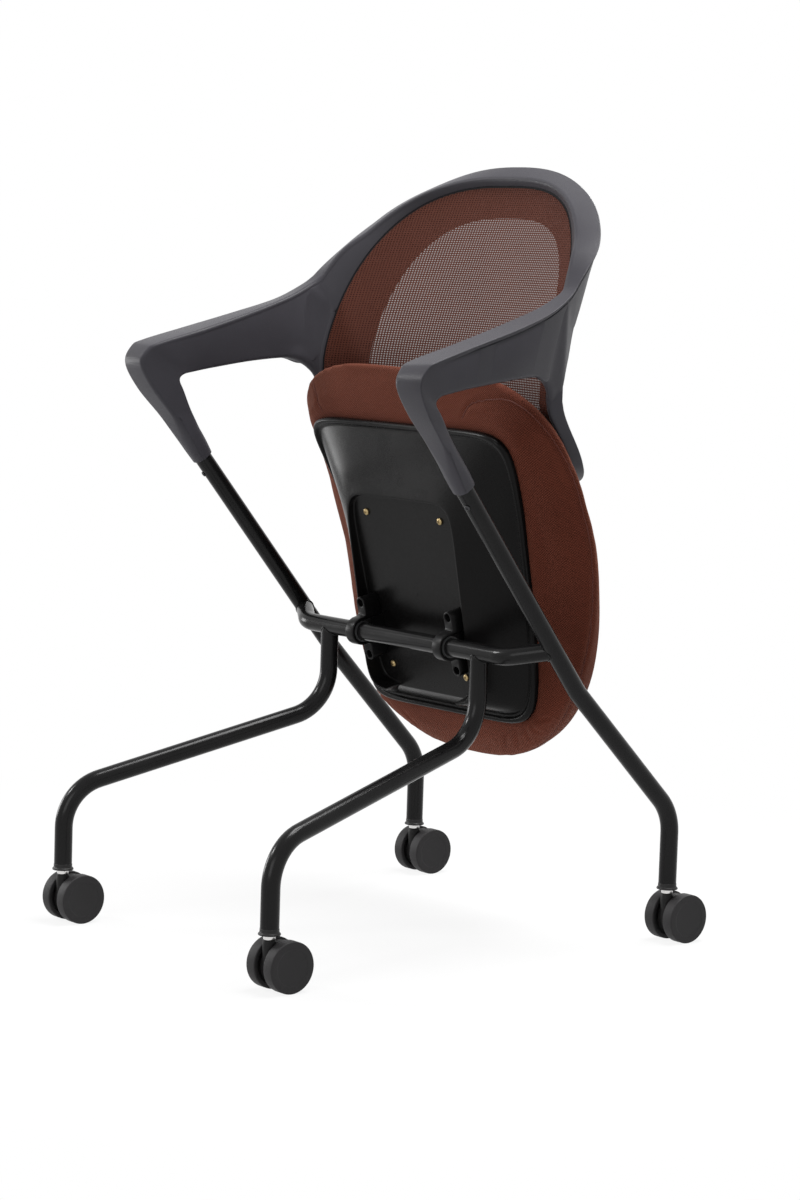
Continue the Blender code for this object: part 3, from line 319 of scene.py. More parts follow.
MARK_PROFILE = ((PLATEAU_Z - 0.0004, 0.0018), (PLATEAU_Z + 0.001, 0.0034))
MARK_Y = -0.047
MARK_SIDES = 32
BOARD_MARGIN = 0.044
PAN_SCREW_X = 0.072
PAN_SCREW_Y = (-0.147, 0.052)
CLAMP_X = 0.086
CLAMP_WIDTH = 0.0155
CLAMP_SCREW_Y = 0.0335
CLAMP_EAR_Y = 0.041
CLAMP_EAR_Z = 0.008
CLAMP_WALL = 0.0038
CLAMP_BORE = 0.0136
CLAMP_COUNTERBORE = 0.009
CLAMP_POCKET = ((CLAMP_EAR_Z - 0.02, 0.005), (CLAMP_EAR_Z + CLAMP_COUNTERBORE, 0.005))
CLAMP_BLANK_HALF_WIDTH = 0.012
CLAMP_SHELL_Z = (-0.03, 0.05)
CLAMP_BEVEL = 0.0011
CLAMP_FILLET = 0.004
CLAMP_OVERRUN = 0.001
CLAMP_EAR_STEPS = 24
SCREW_HEAD_RADIUS = 0.0045
SCREW_HEAD_HEIGHT = 0.003
SCREW_DOME = 0.65
SCREW_DOME_STEPS = 8
SCREW_SIDES = 40
# Turn at which a screw stops, and its change with the screw's place
SCREW_TURNS = (0.7, 2.1, 9.0)
SHANK_RADIUS = 0.0025
SHANK_LENGTH = 0.012
CROSS_SLOTS = ((0.0026, 0.0005), (0.0005, 0.0026))
CROSS_DEPTH = 0.0013
SOCKET_RADIUS = 0.0017
SOCKET_DEPTH = 0.0015
RECESS_START = 0.001
ARM_SCREW_TURN = math.radians(72)
ARM_SCREW_SETBACK = 0.020
ARM_SCREW_LIFT = 0.0002
ARM_SCREW_SCALE = (0.75, 0.75, 0.6, 1.0)

CORNERS = {
    "front_left": (FRONT_FOOT[0], FRONT_FOOT[1]),
    "front_right": (-FRONT_FOOT[0], FRONT_FOOT[1]),
    "rear_left": (REAR_FOOT[0], REAR_FOOT[1]),
    "rear_right": (-REAR_FOOT[0], REAR_FOOT[1]),
}
SIDES = (("left", 1), ("right", -1))


# Materials


def add_node(tree, kind, inputs=None, **settings):
    made = tree.nodes.new(kind)
    for key, value in settings.items():
        setattr(made, key, value)
    for key, value in (inputs or {}).items():
        if isinstance(value, bpy.types.NodeSocket):
            tree.links.new(value, made.inputs[key])
        else:
            made.inputs[key].default_value = value
    return made


class Finish:
    """A node material under construction, with its textures laid out in metres on the piece."""

    def __init__(self, name, colour, roughness, metallic=0.0, specular=0.5):
        self.material = bpy.data.materials.new(name)
        self.material.use_nodes = True
        self.tree = self.material.node_tree
        self.shader = self.tree.nodes["Principled BSDF"]
        self.shader.inputs["Base Color"].default_value = (*colour, 1.0)
        self.shader.inputs["Roughness"].default_value = roughness
        self.shader.inputs["Metallic"].default_value = metallic
        self.shader.inputs["Specular IOR Level"].default_value = specular
        self.coords = self.node("ShaderNodeTexCoord")
        self.place = self.coords.outputs["Object"]

    def node(self, kind, inputs=None, **settings):
        return add_node(self.tree, kind, inputs, **settings)

    def noise(self, scale, detail=2.0, vector=None):
        inputs = {"Vector": vector or self.place, "Scale": scale, "Detail": detail}
        return self.node("ShaderNodeTexNoise", inputs).outputs["Fac"]

    def stretched(self, scale):
        return self.node("ShaderNodeMapping", {"Vector": self.place, "Scale": scale}).outputs["Vector"]

    def calc(self, operation, first, second=0.0):
        return self.node("ShaderNodeMath", {0: first, 1: second}, operation=operation).outputs[0]

    def remap(self, value, low, high, to_low=0.0, to_high=1.0, curve="LINEAR"):
        inputs = {"Value": value, "From Min": low, "From Max": high, "To Min": to_low, "To Max": to_high}
        return self.node("ShaderNodeMapRange", inputs, interpolation_type=curve).outputs["Result"]

    def mix(self, share, first, second):
        inputs = {0: share, 6: first, 7: second}
        for key in (6, 7):
            if not isinstance(inputs[key], bpy.types.NodeSocket):
                inputs[key] = (*inputs[key], 1.0)
        return self.node("ShaderNodeMix", inputs, data_type="RGBA").outputs[2]

    def bands(self, period, axis, rotation=(0, 0, 0), vector=None):
        """Sine bands of a real period along one axis of the turned coordinates."""
        inputs = {"Vector": vector or self.place, "Rotation": rotation}
        turned = self.node("ShaderNodeMapping", inputs).outputs["Vector"]
        wave = {"Vector": turned, "Scale": 2 * math.pi / 20 / period}
        return self.node("ShaderNodeTexWave", wave, bands_direction=axis).outputs["Fac"]

    def use(self, socket, value):
        self.tree.links.new(value, self.shader.inputs[socket])

    def bump(self, height, distance, strength=1.0):
        inputs = {"Height": height, "Distance": distance, "Strength": strength}
        self.use("Normal", self.node("ShaderNodeBump", inputs).outputs["Normal"])

    def shade(self, pattern, dark, light, relief, depth, gloss, span=(0.3, 0.7)):
        """Colour and roughness from one pattern, bumps from another."""
        self.use("Base Color", self.mix(self.remap(pattern, 0.3, 0.7), dark, light))
        self.use("Roughness", self.remap(pattern, *span, *gloss))
        self.bump(relief, depth)
        return self.material


def plastic(name, colour, dark, roughness, grain, grain_depth, specular):
    """Moulded plastic: spark-eroded grain, faint flow shading and uneven gloss."""
    made = Finish(name, colour, roughness, specular=specular)
    cloud = made.noise(14.0, 3.0)
    made.use("Base Color", made.mix(made.remap(cloud, 0.3, 0.7), dark, colour))
    speckle = made.noise(grain, 2.0)
    smudge = made.remap(cloud, 0.3, 0.7, -0.04, 0.04)
    gloss = made.calc("ADD", smudge, made.remap(speckle, 0.3, 0.7, -0.05, 0.05))
    made.use("Roughness", made.calc("ADD", gloss, roughness))
    made.bump(speckle, grain_depth)
    return made.material


def coated_tube():
    """Black powder coat with a light orange peel."""
    made = Finish("tube_coat", (0.0070, 0.0068, 0.0070), 0.22, specular=0.15)
    peel = made.noise(420.0)
    cloud = made.noise(22.0, 3.0)
    dark, light = (0.0056, 0.0054, 0.0056), (0.0080, 0.0078, 0.0080)
    return made.shade(cloud, dark, light, peel, 0.00004, (0.18, 0.25), (0.25, 0.75))


def metal(name, colour, roughness, brushed):
    """Plated steel: turned lines, smudged gloss."""
    made = Finish(name, colour, roughness, metallic=1.0)
    cloud = made.noise(60.0, 3.0)
    lines = made.noise(900.0, 2.0, made.stretched((1.0, 1.0, 8.0)))
    gloss = roughness * 0.7, roughness * 1.3
    return made.shade(cloud, [0.82 * c for c in colour], colour, lines, brushed, gloss, (0.25, 0.75))


def triplanar(made, bands_for):
    """Blends three flat patterns by the way that the surface faces."""
    facing = made.node("ShaderNodeSeparateXYZ", {0: made.coords.outputs["Normal"]})
    weights = [made.calc("POWER", made.calc("ABSOLUTE", facing.outputs[k]), 5.0) for k in range(3)]
    total = made.calc("ADD", made.calc("ADD", weights[0], weights[1]), weights[2])
    shares = [made.calc("DIVIDE", weight, total) for weight in weights]
    layers = [made.calc("MULTIPLY", shares[k], bands_for(k)) for k in range(3)]
    return made.calc("ADD", made.calc("ADD", layers[0], layers[1]), layers[2])


def seat_fabric():
    """Rust-brown upholstery: fine twill ribs of slubby yarn with a soft fuzz, and painted shade in the
    hollows between the ribs.
    """
    made = Finish("seat_fabric", (0.122, 0.029, 0.015), 0.88, specular=0.12)
    lean = math.radians(38)
    turns = ((lean, 0, 0), (0, lean, 0), (0, 0, lean))
    across = ("Z", "X", "Y")
    along = ("Y", "Z", "X")
    rib = triplanar(made, lambda k: made.bands(0.0021, across[k], turns[k]))
    stitch = triplanar(made, lambda k: made.bands(0.0027, along[k], turns[k]))
    yarn = made.noise(900.0, 2.0)
    height = made.calc("ADD", made.calc("MULTIPLY", rib, 0.7), made.calc("MULTIPLY", stitch, 0.35))
    height = made.calc("ADD", height, made.calc("MULTIPLY", yarn, 0.35))
    worn = made.noise(9.0, 4.0)
    base = made.mix(made.remap(worn, 0.3, 0.7), (0.101, 0.0246, 0.0128), (0.130, 0.0330, 0.0178))
    # Painted shade: the colour falls to a dark brown where the twill sinks between its ribs.
    hollow_shaded = made.mix(made.remap(height, 0.3, 1.0), (0.056, 0.0122, 0.0066), base)
    made.use("Base Color", hollow_shaded)
    made.use("Roughness", made.remap(height, 0.2, 1.2, 0.95, 0.80))
    made.bump(height, 0.0008, 0.9)
    for socket, value in (("Weight", 0.30), ("Roughness", 0.45), ("Tint", (0.55, 0.25, 0.17, 1.0))):
        made.shader.inputs["Sheen " + socket].default_value = value
    return made.material


def back_knit(name, colour, dark, open_share):
    """Knitted back cloth. The sheer layer has real holes between its yarns, the lining is closed. Both have
    painted shade where the knit sinks between its yarns.
    """
    made = Finish(name, colour, 0.75, specular=0.12)
    weave = made.node("ShaderNodeAttribute", attribute_name="weave").outputs["Vector"]
    columns = made.bands(0.0045, "X", vector=weave)
    rows = made.bands(0.0029, "Y", vector=weave)
    cell = made.calc("MULTIPLY", columns, rows)
    slub = made.noise(700.0, 2.0)
    cloud = made.noise(11.0, 3.0)
    base = made.mix(made.remap(cloud, 0.3, 0.7), [0.85 * c for c in colour], colour)
    # Painted shade: the colour turns to the darker colour where the knit sinks between its yarns.
    made.use("Base Color", made.mix(made.remap(made.calc("ADD", cell, slub), 0.3, 1.3), base, dark))
    made.use("Roughness", made.remap(slub, 0.3, 0.7, 0.65, 0.85))
    made.bump(made.calc("SUBTRACT", made.calc("MULTIPLY", slub, 0.3), cell), 0.0004)
    if open_share:
        height = made.node("ShaderNodeSeparateXYZ", {0: weave}).outputs[1]
        closed = made.remap(height, 0.05, 0.18, 0.92, 0.69)
        edge = open_share - 0.08, open_share + 0.08
        made.use("Alpha", made.remap(cell, *edge, 1.0, closed, "SMOOTHSTEP"))
    return made.material


def plywood():
    made = Finish("seat_plywood", (0.48, 0.33, 0.19), 0.65)
    grain = made.noise(60.0, 4.0, made.stretched((1.0, 0.06, 4.0)))
    return made.shade(grain, (0.36, 0.23, 0.12), (0.52, 0.37, 0.22), grain, 0.0002, (0.55, 0.75))


def sewing_thread():
    made = Finish("seam_thread", (0.085, 0.020, 0.012), 0.7, specular=0.3)
    twist = made.noise(1500.0, 1.0)
    return made.shade(twist, (0.070, 0.016, 0.010), (0.11, 0.027, 0.016), twist, 0.0002, (0.6, 0.8))


# Colour, darker colour, roughness, grain scale, grain depth, specular level
PLASTICS = {
    "moulding": ((0.046, 0.0442, 0.0515), (0.0400, 0.0384, 0.0447), 0.40, 1100.0, 0.00015, 0.12),
    "spline": ((0.010, 0.010, 0.011), (0.007, 0.007, 0.008), 0.75, 900.0, 0.00012, 0.10),
    "pan": ((0.0050, 0.0046, 0.0046), (0.0038, 0.0036, 0.0036), 0.27, 1300.0, 0.00006, 0.10),
    "clamp": ((0.0055, 0.0053, 0.0055), (0.0042, 0.0040, 0.0042), 0.33, 1000.0, 0.00012, 0.12),
    "castor_body": ((0.0115, 0.0110, 0.0112), (0.008, 0.008, 0.008), 0.50, 900.0, 0.00015, 0.15),
    "wheel": ((0.0215, 0.0205, 0.0215), (0.0165, 0.0158, 0.0165), 0.55, 800.0, 0.00015, 0.2),
    "ferrule": ((0.0105, 0.0100, 0.0100), (0.007, 0.007, 0.007), 0.45, 900.0, 0.00012, 0.25),
    "bush": ((0.045, 0.045, 0.046), (0.035, 0.035, 0.036), 0.45, 900.0, 0.00010, 0.5),
}
# Colour, roughness, depth of the turned lines
METALS = {
    "screw_brass": ((0.40, 0.30, 0.15), 0.34, 0.00004),
    "screw_steel": ((0.055, 0.055, 0.058), 0.38, 0.00004),
    "stem": ((0.72, 0.71, 0.70), 0.16, 0.00003),
    "axle": ((0.42, 0.42, 0.43), 0.30, 0.00003),
}
FINISHES = {
    "tube": coated_tube(),
    "fabric": seat_fabric(),
    # The second colour of each knit is painted shade for the hollows between its yarns.
    "mesh": back_knit("mesh", (0.094, 0.029, 0.018), (0.050, 0.0145, 0.009), 0.42),
    "lining": back_knit("lining", (0.082, 0.0225, 0.0135), (0.056, 0.0150, 0.009), 0.0),
    "plywood": plywood(),
    "thread": sewing_thread(),
}
FINISHES.update((name, plastic(name, *row)) for name, row in PLASTICS.items())
FINISHES.update((name, metal(name, *row)) for name, row in METALS.items())


# Mesh helpers


def ramp(value, low, high):
    """0 at low, 1 at high, straight between them."""
    return np.clip((value - low) / (high - low), 0.0, 1.0)


def bend(start, corner, end, t):
    """A place on the curve from start to end that leans on the corner."""
    return start * (1 - t) ** 2 + corner * 2 * t * (1 - t) + end * t * t


def eased(before, corner, after, radius, limit, steps):
    """Points round one corner of a line."""
    start, end = (corner + arm * min(radius / arm.length, limit) for arm in (before - corner, after - corner))
    return [bend(start, corner, end, k / (steps - 1)) for k in range(steps)]


def ring_angles(count):
    return [2 * math.pi * (k + 0.5) / count for k in range(count)]


def points_of(data, what="co"):
    flat = np.zeros(len(data) * 3)
    data.foreach_get(what, flat)
    return flat.reshape(-1, 3)


def distances(points, line):
    """How far each point is from the nearest of a line's points."""
    tree = KDTree(len(line))
    for k, place in enumerate(line):
        tree.insert(place, k)
    tree.balance()
    return np.array([tree.find(point)[2] for point in points])


def dense(line, step=0.0012):
    out = []
    for first, second in zip(line, line[1:]):
        count = max(1, int((second - first).length / step))
        out += [first.lerp(second, k / count) for k in range(count)]
    return out + [line[-1]]


def neighbour_means(values, pairs):
    """The mean of its neighbours' values at each point; pairs are the ends of the edges."""
    total = np.zeros_like(values)
    for near, far in (pairs.T, pairs.T[::-1]):
        for axis in range(3):
            total[:, axis] += np.bincount(near, values[far, axis], len(values))
    return total / np.bincount(pairs.ravel(), minlength=len(values))[:, None]


def add_object(name, data):
    item = bpy.data.objects.new(name, data)
    bpy.context.scene.collection.objects.link(item)
    return item


def mesh_of(shape, name="scratch", outwards=True):
    """A mesh from a bmesh, which goes."""
    if outwards:
        bmesh.ops.recalc_face_normals(shape, faces=shape.faces)
    mesh = bpy.data.meshes.new(name)
    shape.to_mesh(mesh)
    shape.free()
    return mesh


def make_piece(name, shape, body, slot, nodes=(), sharp=40, place=None):
    """Turns a bmesh into a piece that rides on a body and stands for CAD nodes."""
    bmesh.ops.remove_doubles(shape, verts=shape.verts, dist=1e-6)
    return make_piece_of(name, mesh_of(shape, name), body, slot, nodes, sharp, place)


def make_piece_of(name, mesh, body, slot, nodes=(), sharp=40, place=None):
    mesh.shade_smooth()
    mesh.set_sharp_from_angle(angle=math.radians(sharp))
    mesh.materials.clear()
    mesh.materials.append(FINISHES[slot])
    piece = add_object(name, mesh)
    if place is not None:
        piece.matrix_world = place
    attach(piece, body)
    if nodes:
        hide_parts(*nodes)
    return piece


def skin(shape, rings, closed=False, capped=True):
    """Skins rings of equal length."""
    loops = [[shape.verts.new(point) for point in ring] for ring in rings]
    spans = list(zip(loops, loops[1:]))
    if closed:
        spans.append((loops[-1], loops[0]))
    for first, second in spans:
        for i in range(len(first)):
            j = (i + 1) % len(first)
            shape.faces.new((first[i], first[j], second[j], second[i]))
    if capped and not closed:
        shape.faces.new(loops[0])
        shape.faces.new(loops[-1])
    return shape


def frame_along(direction):
    ahead = Vector(direction).normalized()
    side = ahead.cross(Vector((0, 0, 1)))
    if side.length < 0.01:
        side = ahead.cross(Vector((0, 1, 0)))
    side.normalize()
    return side, side.cross(ahead)


def circle(centre, direction, radius, steps):
    side, up = frame_along(direction)
    return [Vector(centre) + radius * (math.cos(t) * side + math.sin(t) * up) for t in ring_angles(steps)]


def lathe(shape, profile, direction, steps=64, origin=(0, 0, 0)):
    """Turns (distance along, radius) stations about an axis."""
    ahead = Vector(direction).normalized()
    rings = [circle(Vector(origin) + ahead * along, direction, radius, steps) for along, radius in profile]
    return skin(shape, rings)


def softened(profile, radius, steps=5):
    """Rounds the inner corners of a turned profile."""
    points = [Vector(p) for p in profile]
    out = [points[0]]
    for before, corner, after in zip(points, points[1:], points[2:]):
        out += eased(before, corner, after, radius, 0.48, steps)
    return out + [points[-1]]


def rounded_path(corners, radii):
    """Points and directions along a path whose inner corners are rounded."""
    corners = [Vector(c) for c in corners]
    stations = [(corners[0], (corners[1] - corners[0]).normalized())]
    for before, corner, after, radius in zip(corners, corners[1:], corners[2:], radii):
        incoming = (corner - before).normalized()
        outgoing = (after - corner).normalized()
        turn = incoming.angle(outgoing)
        axis = incoming.cross(outgoing).normalized()
        start = corner - incoming * radius * math.tan(turn / 2)
        centre = start + axis.cross(incoming) * radius
        for k in range(BEND_STEPS + 1):
            spin = Matrix.Rotation(turn * k / BEND_STEPS, 3, axis)
            stations.append((centre + spin @ (start - centre), spin @ incoming))
    stations.append((corners[-1], (corners[-1] - corners[-2]).normalized()))
    return stations


def pipe(shape, stations, radius, sides=TUBE_SIDES, closed=False):
    """A round bar along a path, carried from one station to the next without twist."""
    side = frame_along(stations[0][1])[0]
    rings = []
    for point, ahead in stations:
        side = (side - ahead * side.dot(ahead)).normalized()
        up = ahead.cross(side)
        turns = [2 * math.pi * k / sides for k in range(sides)]
        rings.append([point + radius * (math.cos(t) * side + math.sin(t) * up) for t in turns])
    return skin(shape, rings, closed)


def superellipse(angle, half_width, half_length, power):
    across = math.sin(angle)
    along = math.cos(angle)
    return (
        half_width * math.copysign(abs(across) ** (2 / power), across),
        half_length * math.copysign(abs(along) ** (2 / power), along),
    )


def blended(keys, position):
    """Smooth curve through keyed vectors: keys are (position, vector)."""
    places = [key[0] for key in keys]
    values = [np.array(key[1], float) for key in keys]
    k = int(np.clip(np.searchsorted(places, position, side="right") - 1, 0, len(keys) - 2))
    span = places[k + 1] - places[k]
    t = (position - places[k]) / span

    def slope(i):
        low = max(i - 1, 0)
        high = min(i + 1, len(keys) - 1)
        return (values[high] - values[low]) / (places[high] - places[low])

    start = slope(k) * span
    end = slope(k + 1) * span
    return (
        values[k] * (1 + 2 * t) * (1 - t) ** 2
        + start * t * (1 - t) ** 2
        + values[k + 1] * t * t * (3 - 2 * t)
        - end * t * t * (1 - t)
    )


def scratch_object(shape):
    """An object for work that is removed again, from a bmesh or a mesh."""
    return add_object("scratch", shape if isinstance(shape, bpy.types.Mesh) else mesh_of(shape))


def modified(item):
    """The item's mesh with its modifiers applied, as a new mesh."""
    bpy.context.view_layer.update()
    graph = bpy.context.evaluated_depsgraph_get()
    return bpy.data.meshes.new_from_object(item.evaluated_get(graph))


def finished(item):
    """The item's mesh with its modifiers applied. The item goes."""
    made = modified(item)
    bpy.data.objects.remove(item, do_unlink=True)
    return made


def remesh_evenly(item, size):
    remesh = item.modifiers.new("even", "REMESH")
    remesh.mode = "VOXEL"
    remesh.voxel_size = size


def combined(base, helpers):
    """Joins or cuts a bmesh by others: helpers are (operation, bmesh). Returns a mesh."""
    item = scratch_object(base)
    tools = []
    for operation, shape in helpers:
        tool = scratch_object(shape)
        tools.append(tool)
        cut = item.modifiers.new(operation, "BOOLEAN")
        cut.operation = operation
        cut.solver = "EXACT"
        cut.object = tool
    mesh = finished(item)
    for tool in tools:
        bpy.data.objects.remove(tool, do_unlink=True)
    return mesh


def bevelled(mesh, width, segments=3, angle=35):
    item = scratch_object(mesh)
    bevel = item.modifiers.new("edge", "BEVEL")
    bevel.width = width
    bevel.segments = segments
    bevel.limit_method = "ANGLE"
    bevel.angle_limit = math.radians(angle)
    bevel.harden_normals = False
    return finished(item)


# Tube frame


def mirrored(point, sign):
    return Vector((sign * point[0], point[1], point[2]))


def arm_direction(sign):
    return (mirrored(ARM_JOINT, sign) - mirrored(REAR_MID_BEND, sign)).normalized()


def crossbar_end(sign):
    ahead = arm_direction(sign)
    start = mirrored(REAR_MID_BEND, sign)
    return start + ahead * ((CROSSBAR_END_Z - start.z) / ahead.z)


def add_weld(shape, end, along, across):
    """A bead where a tube that ends at a point on another tube's axis meets that tube's skin."""
    along = Vector(along).normalized()
    across = (Vector(across) - along * along.dot(Vector(across))).normalized()
    side = along.cross(across)
    points = []
    for k in range(WELD_STEPS):
        turn = 2 * math.pi * k / WELD_STEPS
        lift = TUBE_RADIUS * math.sqrt(1 - math.sin(turn) ** 2 * WELD_WRAP)
        points.append(end - along * lift + TUBE_RADIUS * (math.cos(turn) * across + math.sin(turn) * side))
    aheads = [(points[(k + 1) % WELD_STEPS] - points[k - 1]).normalized() for k in range(WELD_STEPS)]
    pipe(shape, list(zip(points, aheads)), WELD_RADIUS, WELD_SIDES, True)


def build_frame():
    upper_x, upper_z = FRONT_UPPER_BEND
    top = upper_x, PIVOT_Y, PIVOT_Z
    upper = upper_x, PIVOT_Y, upper_z
    legs = {
        "rear": ((*REAR_FOOT, TUBE_FOOT_Z), (*REAR_FOOT, REAR_LOWER_BEND_Z), REAR_MID_BEND, ARM_JOINT),
        "front": ((*FRONT_FOOT, TUBE_FOOT_Z), (*FRONT_FOOT, FRONT_LOWER_BEND_Z), upper, top),
    }
    for side, sign in SIDES:
        for end, corners in legs.items():
            path = rounded_path([mirrored(corner, sign) for corner in corners], (LEG_BEND_RADIUS,) * 2)
            shape = pipe(bmesh.new(), path, TUBE_RADIUS)
            if end == "front":
                add_weld(shape, mirrored(top, sign), (0, 0, 1), (1, 0, 0))
            make_piece(f"{side}_{end}_tube", shape, "chair_frame", "tube", [f"{side}_{end}_leg"])
    right, left = (Vector((x, PIVOT_Y, PIVOT_Z)) for x in (-CROSSBAR_BEND_X, CROSSBAR_BEND_X))
    ends = crossbar_end(-1), crossbar_end(1)
    path = rounded_path((ends[0], right, left, ends[1]), (CROSSBAR_BEND_RADIUS,) * 2)
    shape = pipe(bmesh.new(), path, TUBE_RADIUS)
    for end, inner, sign in ((ends[0], right, -1), (ends[1], left, 1)):
        add_weld(shape, end, end - inner, arm_direction(sign))
    make_piece("cross_tube", shape, "chair_frame", "tube", ["crossbar"])


# Castors


def wheel_shape():
    """One wheel about X from its inner face: dished inside, plain disc outside, rounded tread."""
    profile = softened(WHEEL_PROFILE, WHEEL_EDGE)
    stations = [(p.x + WHEEL_INNER_FACE, max(p.y, 1e-5)) for p in profile]
    return lathe(bmesh.new(), stations, (1, 0, 0), WHEEL_SIDES)


def housing_shape():
    """Castor body: a drum between the wheels with a hood above it and the stem's boss in front."""
    rings = []
    for share, inset in HOUSING_EDGES:
        ring = []
        for k in range(HOUSING_STEPS):
            angle = 2 * math.pi * k / HOUSING_STEPS
            degrees = math.degrees(angle)
            rise = min(ramp(degrees, *HOOD_START), ramp(degrees, *HOOD_END))
            rise = rise * rise * (3 - 2 * rise)
            radius = DRUM_RADIUS + (HOOD_RADIUS - DRUM_RADIUS) * rise - inset
            across = share * HOUSING_HALF_WIDTH
            ring.append(AXLE_PLACE + Vector((across, radius * math.cos(angle), radius * math.sin(angle))))
        rings.append(ring)
    shape = skin(bmesh.new(), rings)
    return lathe(shape, softened(BOSS_PROFILE, BOSS_EDGE), (0, 0, 1), STEM_SIDES)


def build_castors():
    ferrule = softened(FERRULE_PROFILE, FERRULE_EDGE)
    stem = softened(STEM_PROFILE, STEM_EDGE)
    for corner, (x, y) in CORNERS.items():
        foot = Matrix.Translation((x, y, 0))
        castor = corner + "_castor"
        turned = lathe(bmesh.new(), ferrule, (0, 0, 1), FERRULE_SIDES)
        make_piece(corner + "_ferrule", turned, "chair_frame", "ferrule", [corner + "_bushing"], place=foot)
        turned = lathe(bmesh.new(), stem, (0, 0, 1), STEM_SIDES)
        make_piece(corner + "_stem", turned, castor, "stem", [castor + "_stem"], place=foot)
        nodes = [castor + "_housing"]
        make_piece(corner + "_housing", housing_shape(), castor, "castor_body", nodes, place=foot)
        for side, sign in (("outer", math.copysign(1, x)), ("inner", -math.copysign(1, x))):
            shape = wheel_shape()
            bmesh.ops.scale(shape, verts=shape.verts, vec=(sign, 1, 1))
            place = foot @ Matrix.Translation(AXLE_PLACE)
            name = f"{corner}_{side}"
            make_piece(name + "_tyre", shape, name + "_roller", "wheel", [name + "_wheel"], place=place)


# Moulded back and arms

OUTLINE_ANGLES = ring_angles(OUTLINE_STEPS)


def back_y(x, z):
    rise = z - BACK_BEND_Z
    swing = math.hypot(rise, BACK_BEND_ROUNDING)
    lean = (BACK_UPPER_SLOPE - BACK_LOWER_SLOPE) / 2 * rise
    sweep = (BACK_UPPER_SLOPE + BACK_LOWER_SLOPE) / 2 * swing
    wrap = BACK_WRAP / (1 + (min(rise, 0) / BACK_UNWRAP_HEIGHT) ** 2)
    return BACK_BEND_Y + lean + sweep - wrap * x * x


def opening(angle, inset=0.0, top_inset=None, bottom_inset=None):
    upper = math.cos(angle) >= 0
    power = OPENING_UPPER_POWER if upper else OPENING_LOWER_POWER
    trim = top_inset if upper else bottom_inset
    reach = OPENING_TOP_Z - OPENING_WAIST_Z if upper else OPENING_WAIST_Z - OPENING_BOTTOM_Z
    reach -= inset if trim is None else trim
    x, rise = superellipse(angle, OPENING_HALF_WIDTH - inset, reach, power)
    return x, OPENING_WAIST_Z + rise


def opening_point(angle, outwards=0.0, rearwards=0.0, upwards=0.0):
    x, z = opening(angle)
    before = opening(angle - OUTLINE_NUDGE)
    after = opening(angle + OUTLINE_NUDGE)
    run = Vector((after[0] - before[0], after[1] - before[1])).normalized()
    shift = Vector((-run.y, run.x)) * outwards - run * upwards
    return Vector((x + shift.x, back_y(x, z) + rearwards, z + shift.y))


def section(corners, edges):
    """A four-cornered section with each corner rounded by its edge length."""
    points = []
    for before, corner, after, edge in zip(corners[-1:] + corners, corners, corners[1:] + corners[:1], edges):
        points += eased(before, corner, after, edge, CORNER_LIMIT, CORNER_STEPS)
    return points


def rim_section(corners, edges, share):
    """A section whose outer top corner stands over an undercut, with a fine line below the inner one."""
    points = section(corners, edges)
    outer, inner, low_inner, low_outer = corners
    across = (inner - outer).normalized()
    down = (low_outer - outer).normalized()
    lip = [outer + down * RIM_FOOT_HEIGHT + across * share * RIM_FOOT_LIP]
    lip.append(outer + down * RIM_HEIGHT + across * share * RIM_LIP)
    down = (low_inner - inner).normalized()
    line = [inner + down * RIM_LINE - across * share * RIM_LINE_DEPTH, inner + down * RIM_LINE_END]
    return lip + points[:2 * CORNER_STEPS] + line + points[2 * CORNER_STEPS:]


def arm_end_corners():
    ahead = arm_direction(1)
    out = Vector((1, 0, 0))
    out = (out - ahead * out.dot(ahead)).normalized()
    rear = ahead.cross(out)
    radius = TUBE_RADIUS + ARM_END_LIP
    joint = Vector(ARM_JOINT)
    return [joint + radius * (a * out + b * rear) for a, b in ((1, -1), (-1, -1), (-1, 1), (1, 1))]


def hoop_corners(angle):
    keys = [(key[0], [value for corner in key[1:] for value in corner]) for key in HOOP_SECTIONS]
    shifts = blended(keys, math.degrees(angle))
    outer, inner, back = (opening_point(angle, *shifts[3 * k:3 * k + 3]) for k in range(3))
    return [outer, inner, opening_point(angle), back]


def moulding_sections():
    angles = [angle for angle in reversed(OUTLINE_ANGLES) if angle < SHOULDER_ANGLE]
    hoop = [hoop_corners(angle) for angle in angles]
    arm = [arm_end_corners()] + [[Vector(corner) for corner in row] for row in ARM_SECTIONS]
    keys = [(k, np.ravel(corners)) for k, corners in enumerate(arm + [hoop[0], hoop[4]])]
    half = []
    for step in range(len(arm) * ARM_STEPS):
        place = step / ARM_STEPS
        values = blended(keys, place)
        end = max(0.0, 1 - place / SLEEVE_LENGTH) * 2 * TUBE_RADIUS
        edges = [edge + end for edge in (ARM_CREASE, ARM_EDGE, ARM_EDGE, ARM_EDGE)]
        corners = [Vector(values[3 * k:3 * k + 3]) for k in range(4)]
        middle = sum(corners, Vector()) / 4
        grow = 1 + SLEEVE_SWELL * math.sin(math.pi * min(place / SLEEVE_LENGTH, 1.0))
        corners = [middle + (corner - middle) * grow for corner in corners]
        half.append(rim_section(corners, edges, ramp(place, *ARM_RIM_FADE)))
    for corners, angle in zip(hoop, angles):
        share = ramp(math.degrees(angle), *HOOP_RIM_FADE)
        half.append(rim_section(corners, (ARM_CREASE, ARM_EDGE, FINE_EDGE, ARM_EDGE), share))
    return half + [[mirrored(point, -1) for point in ring] for ring in reversed(half)]


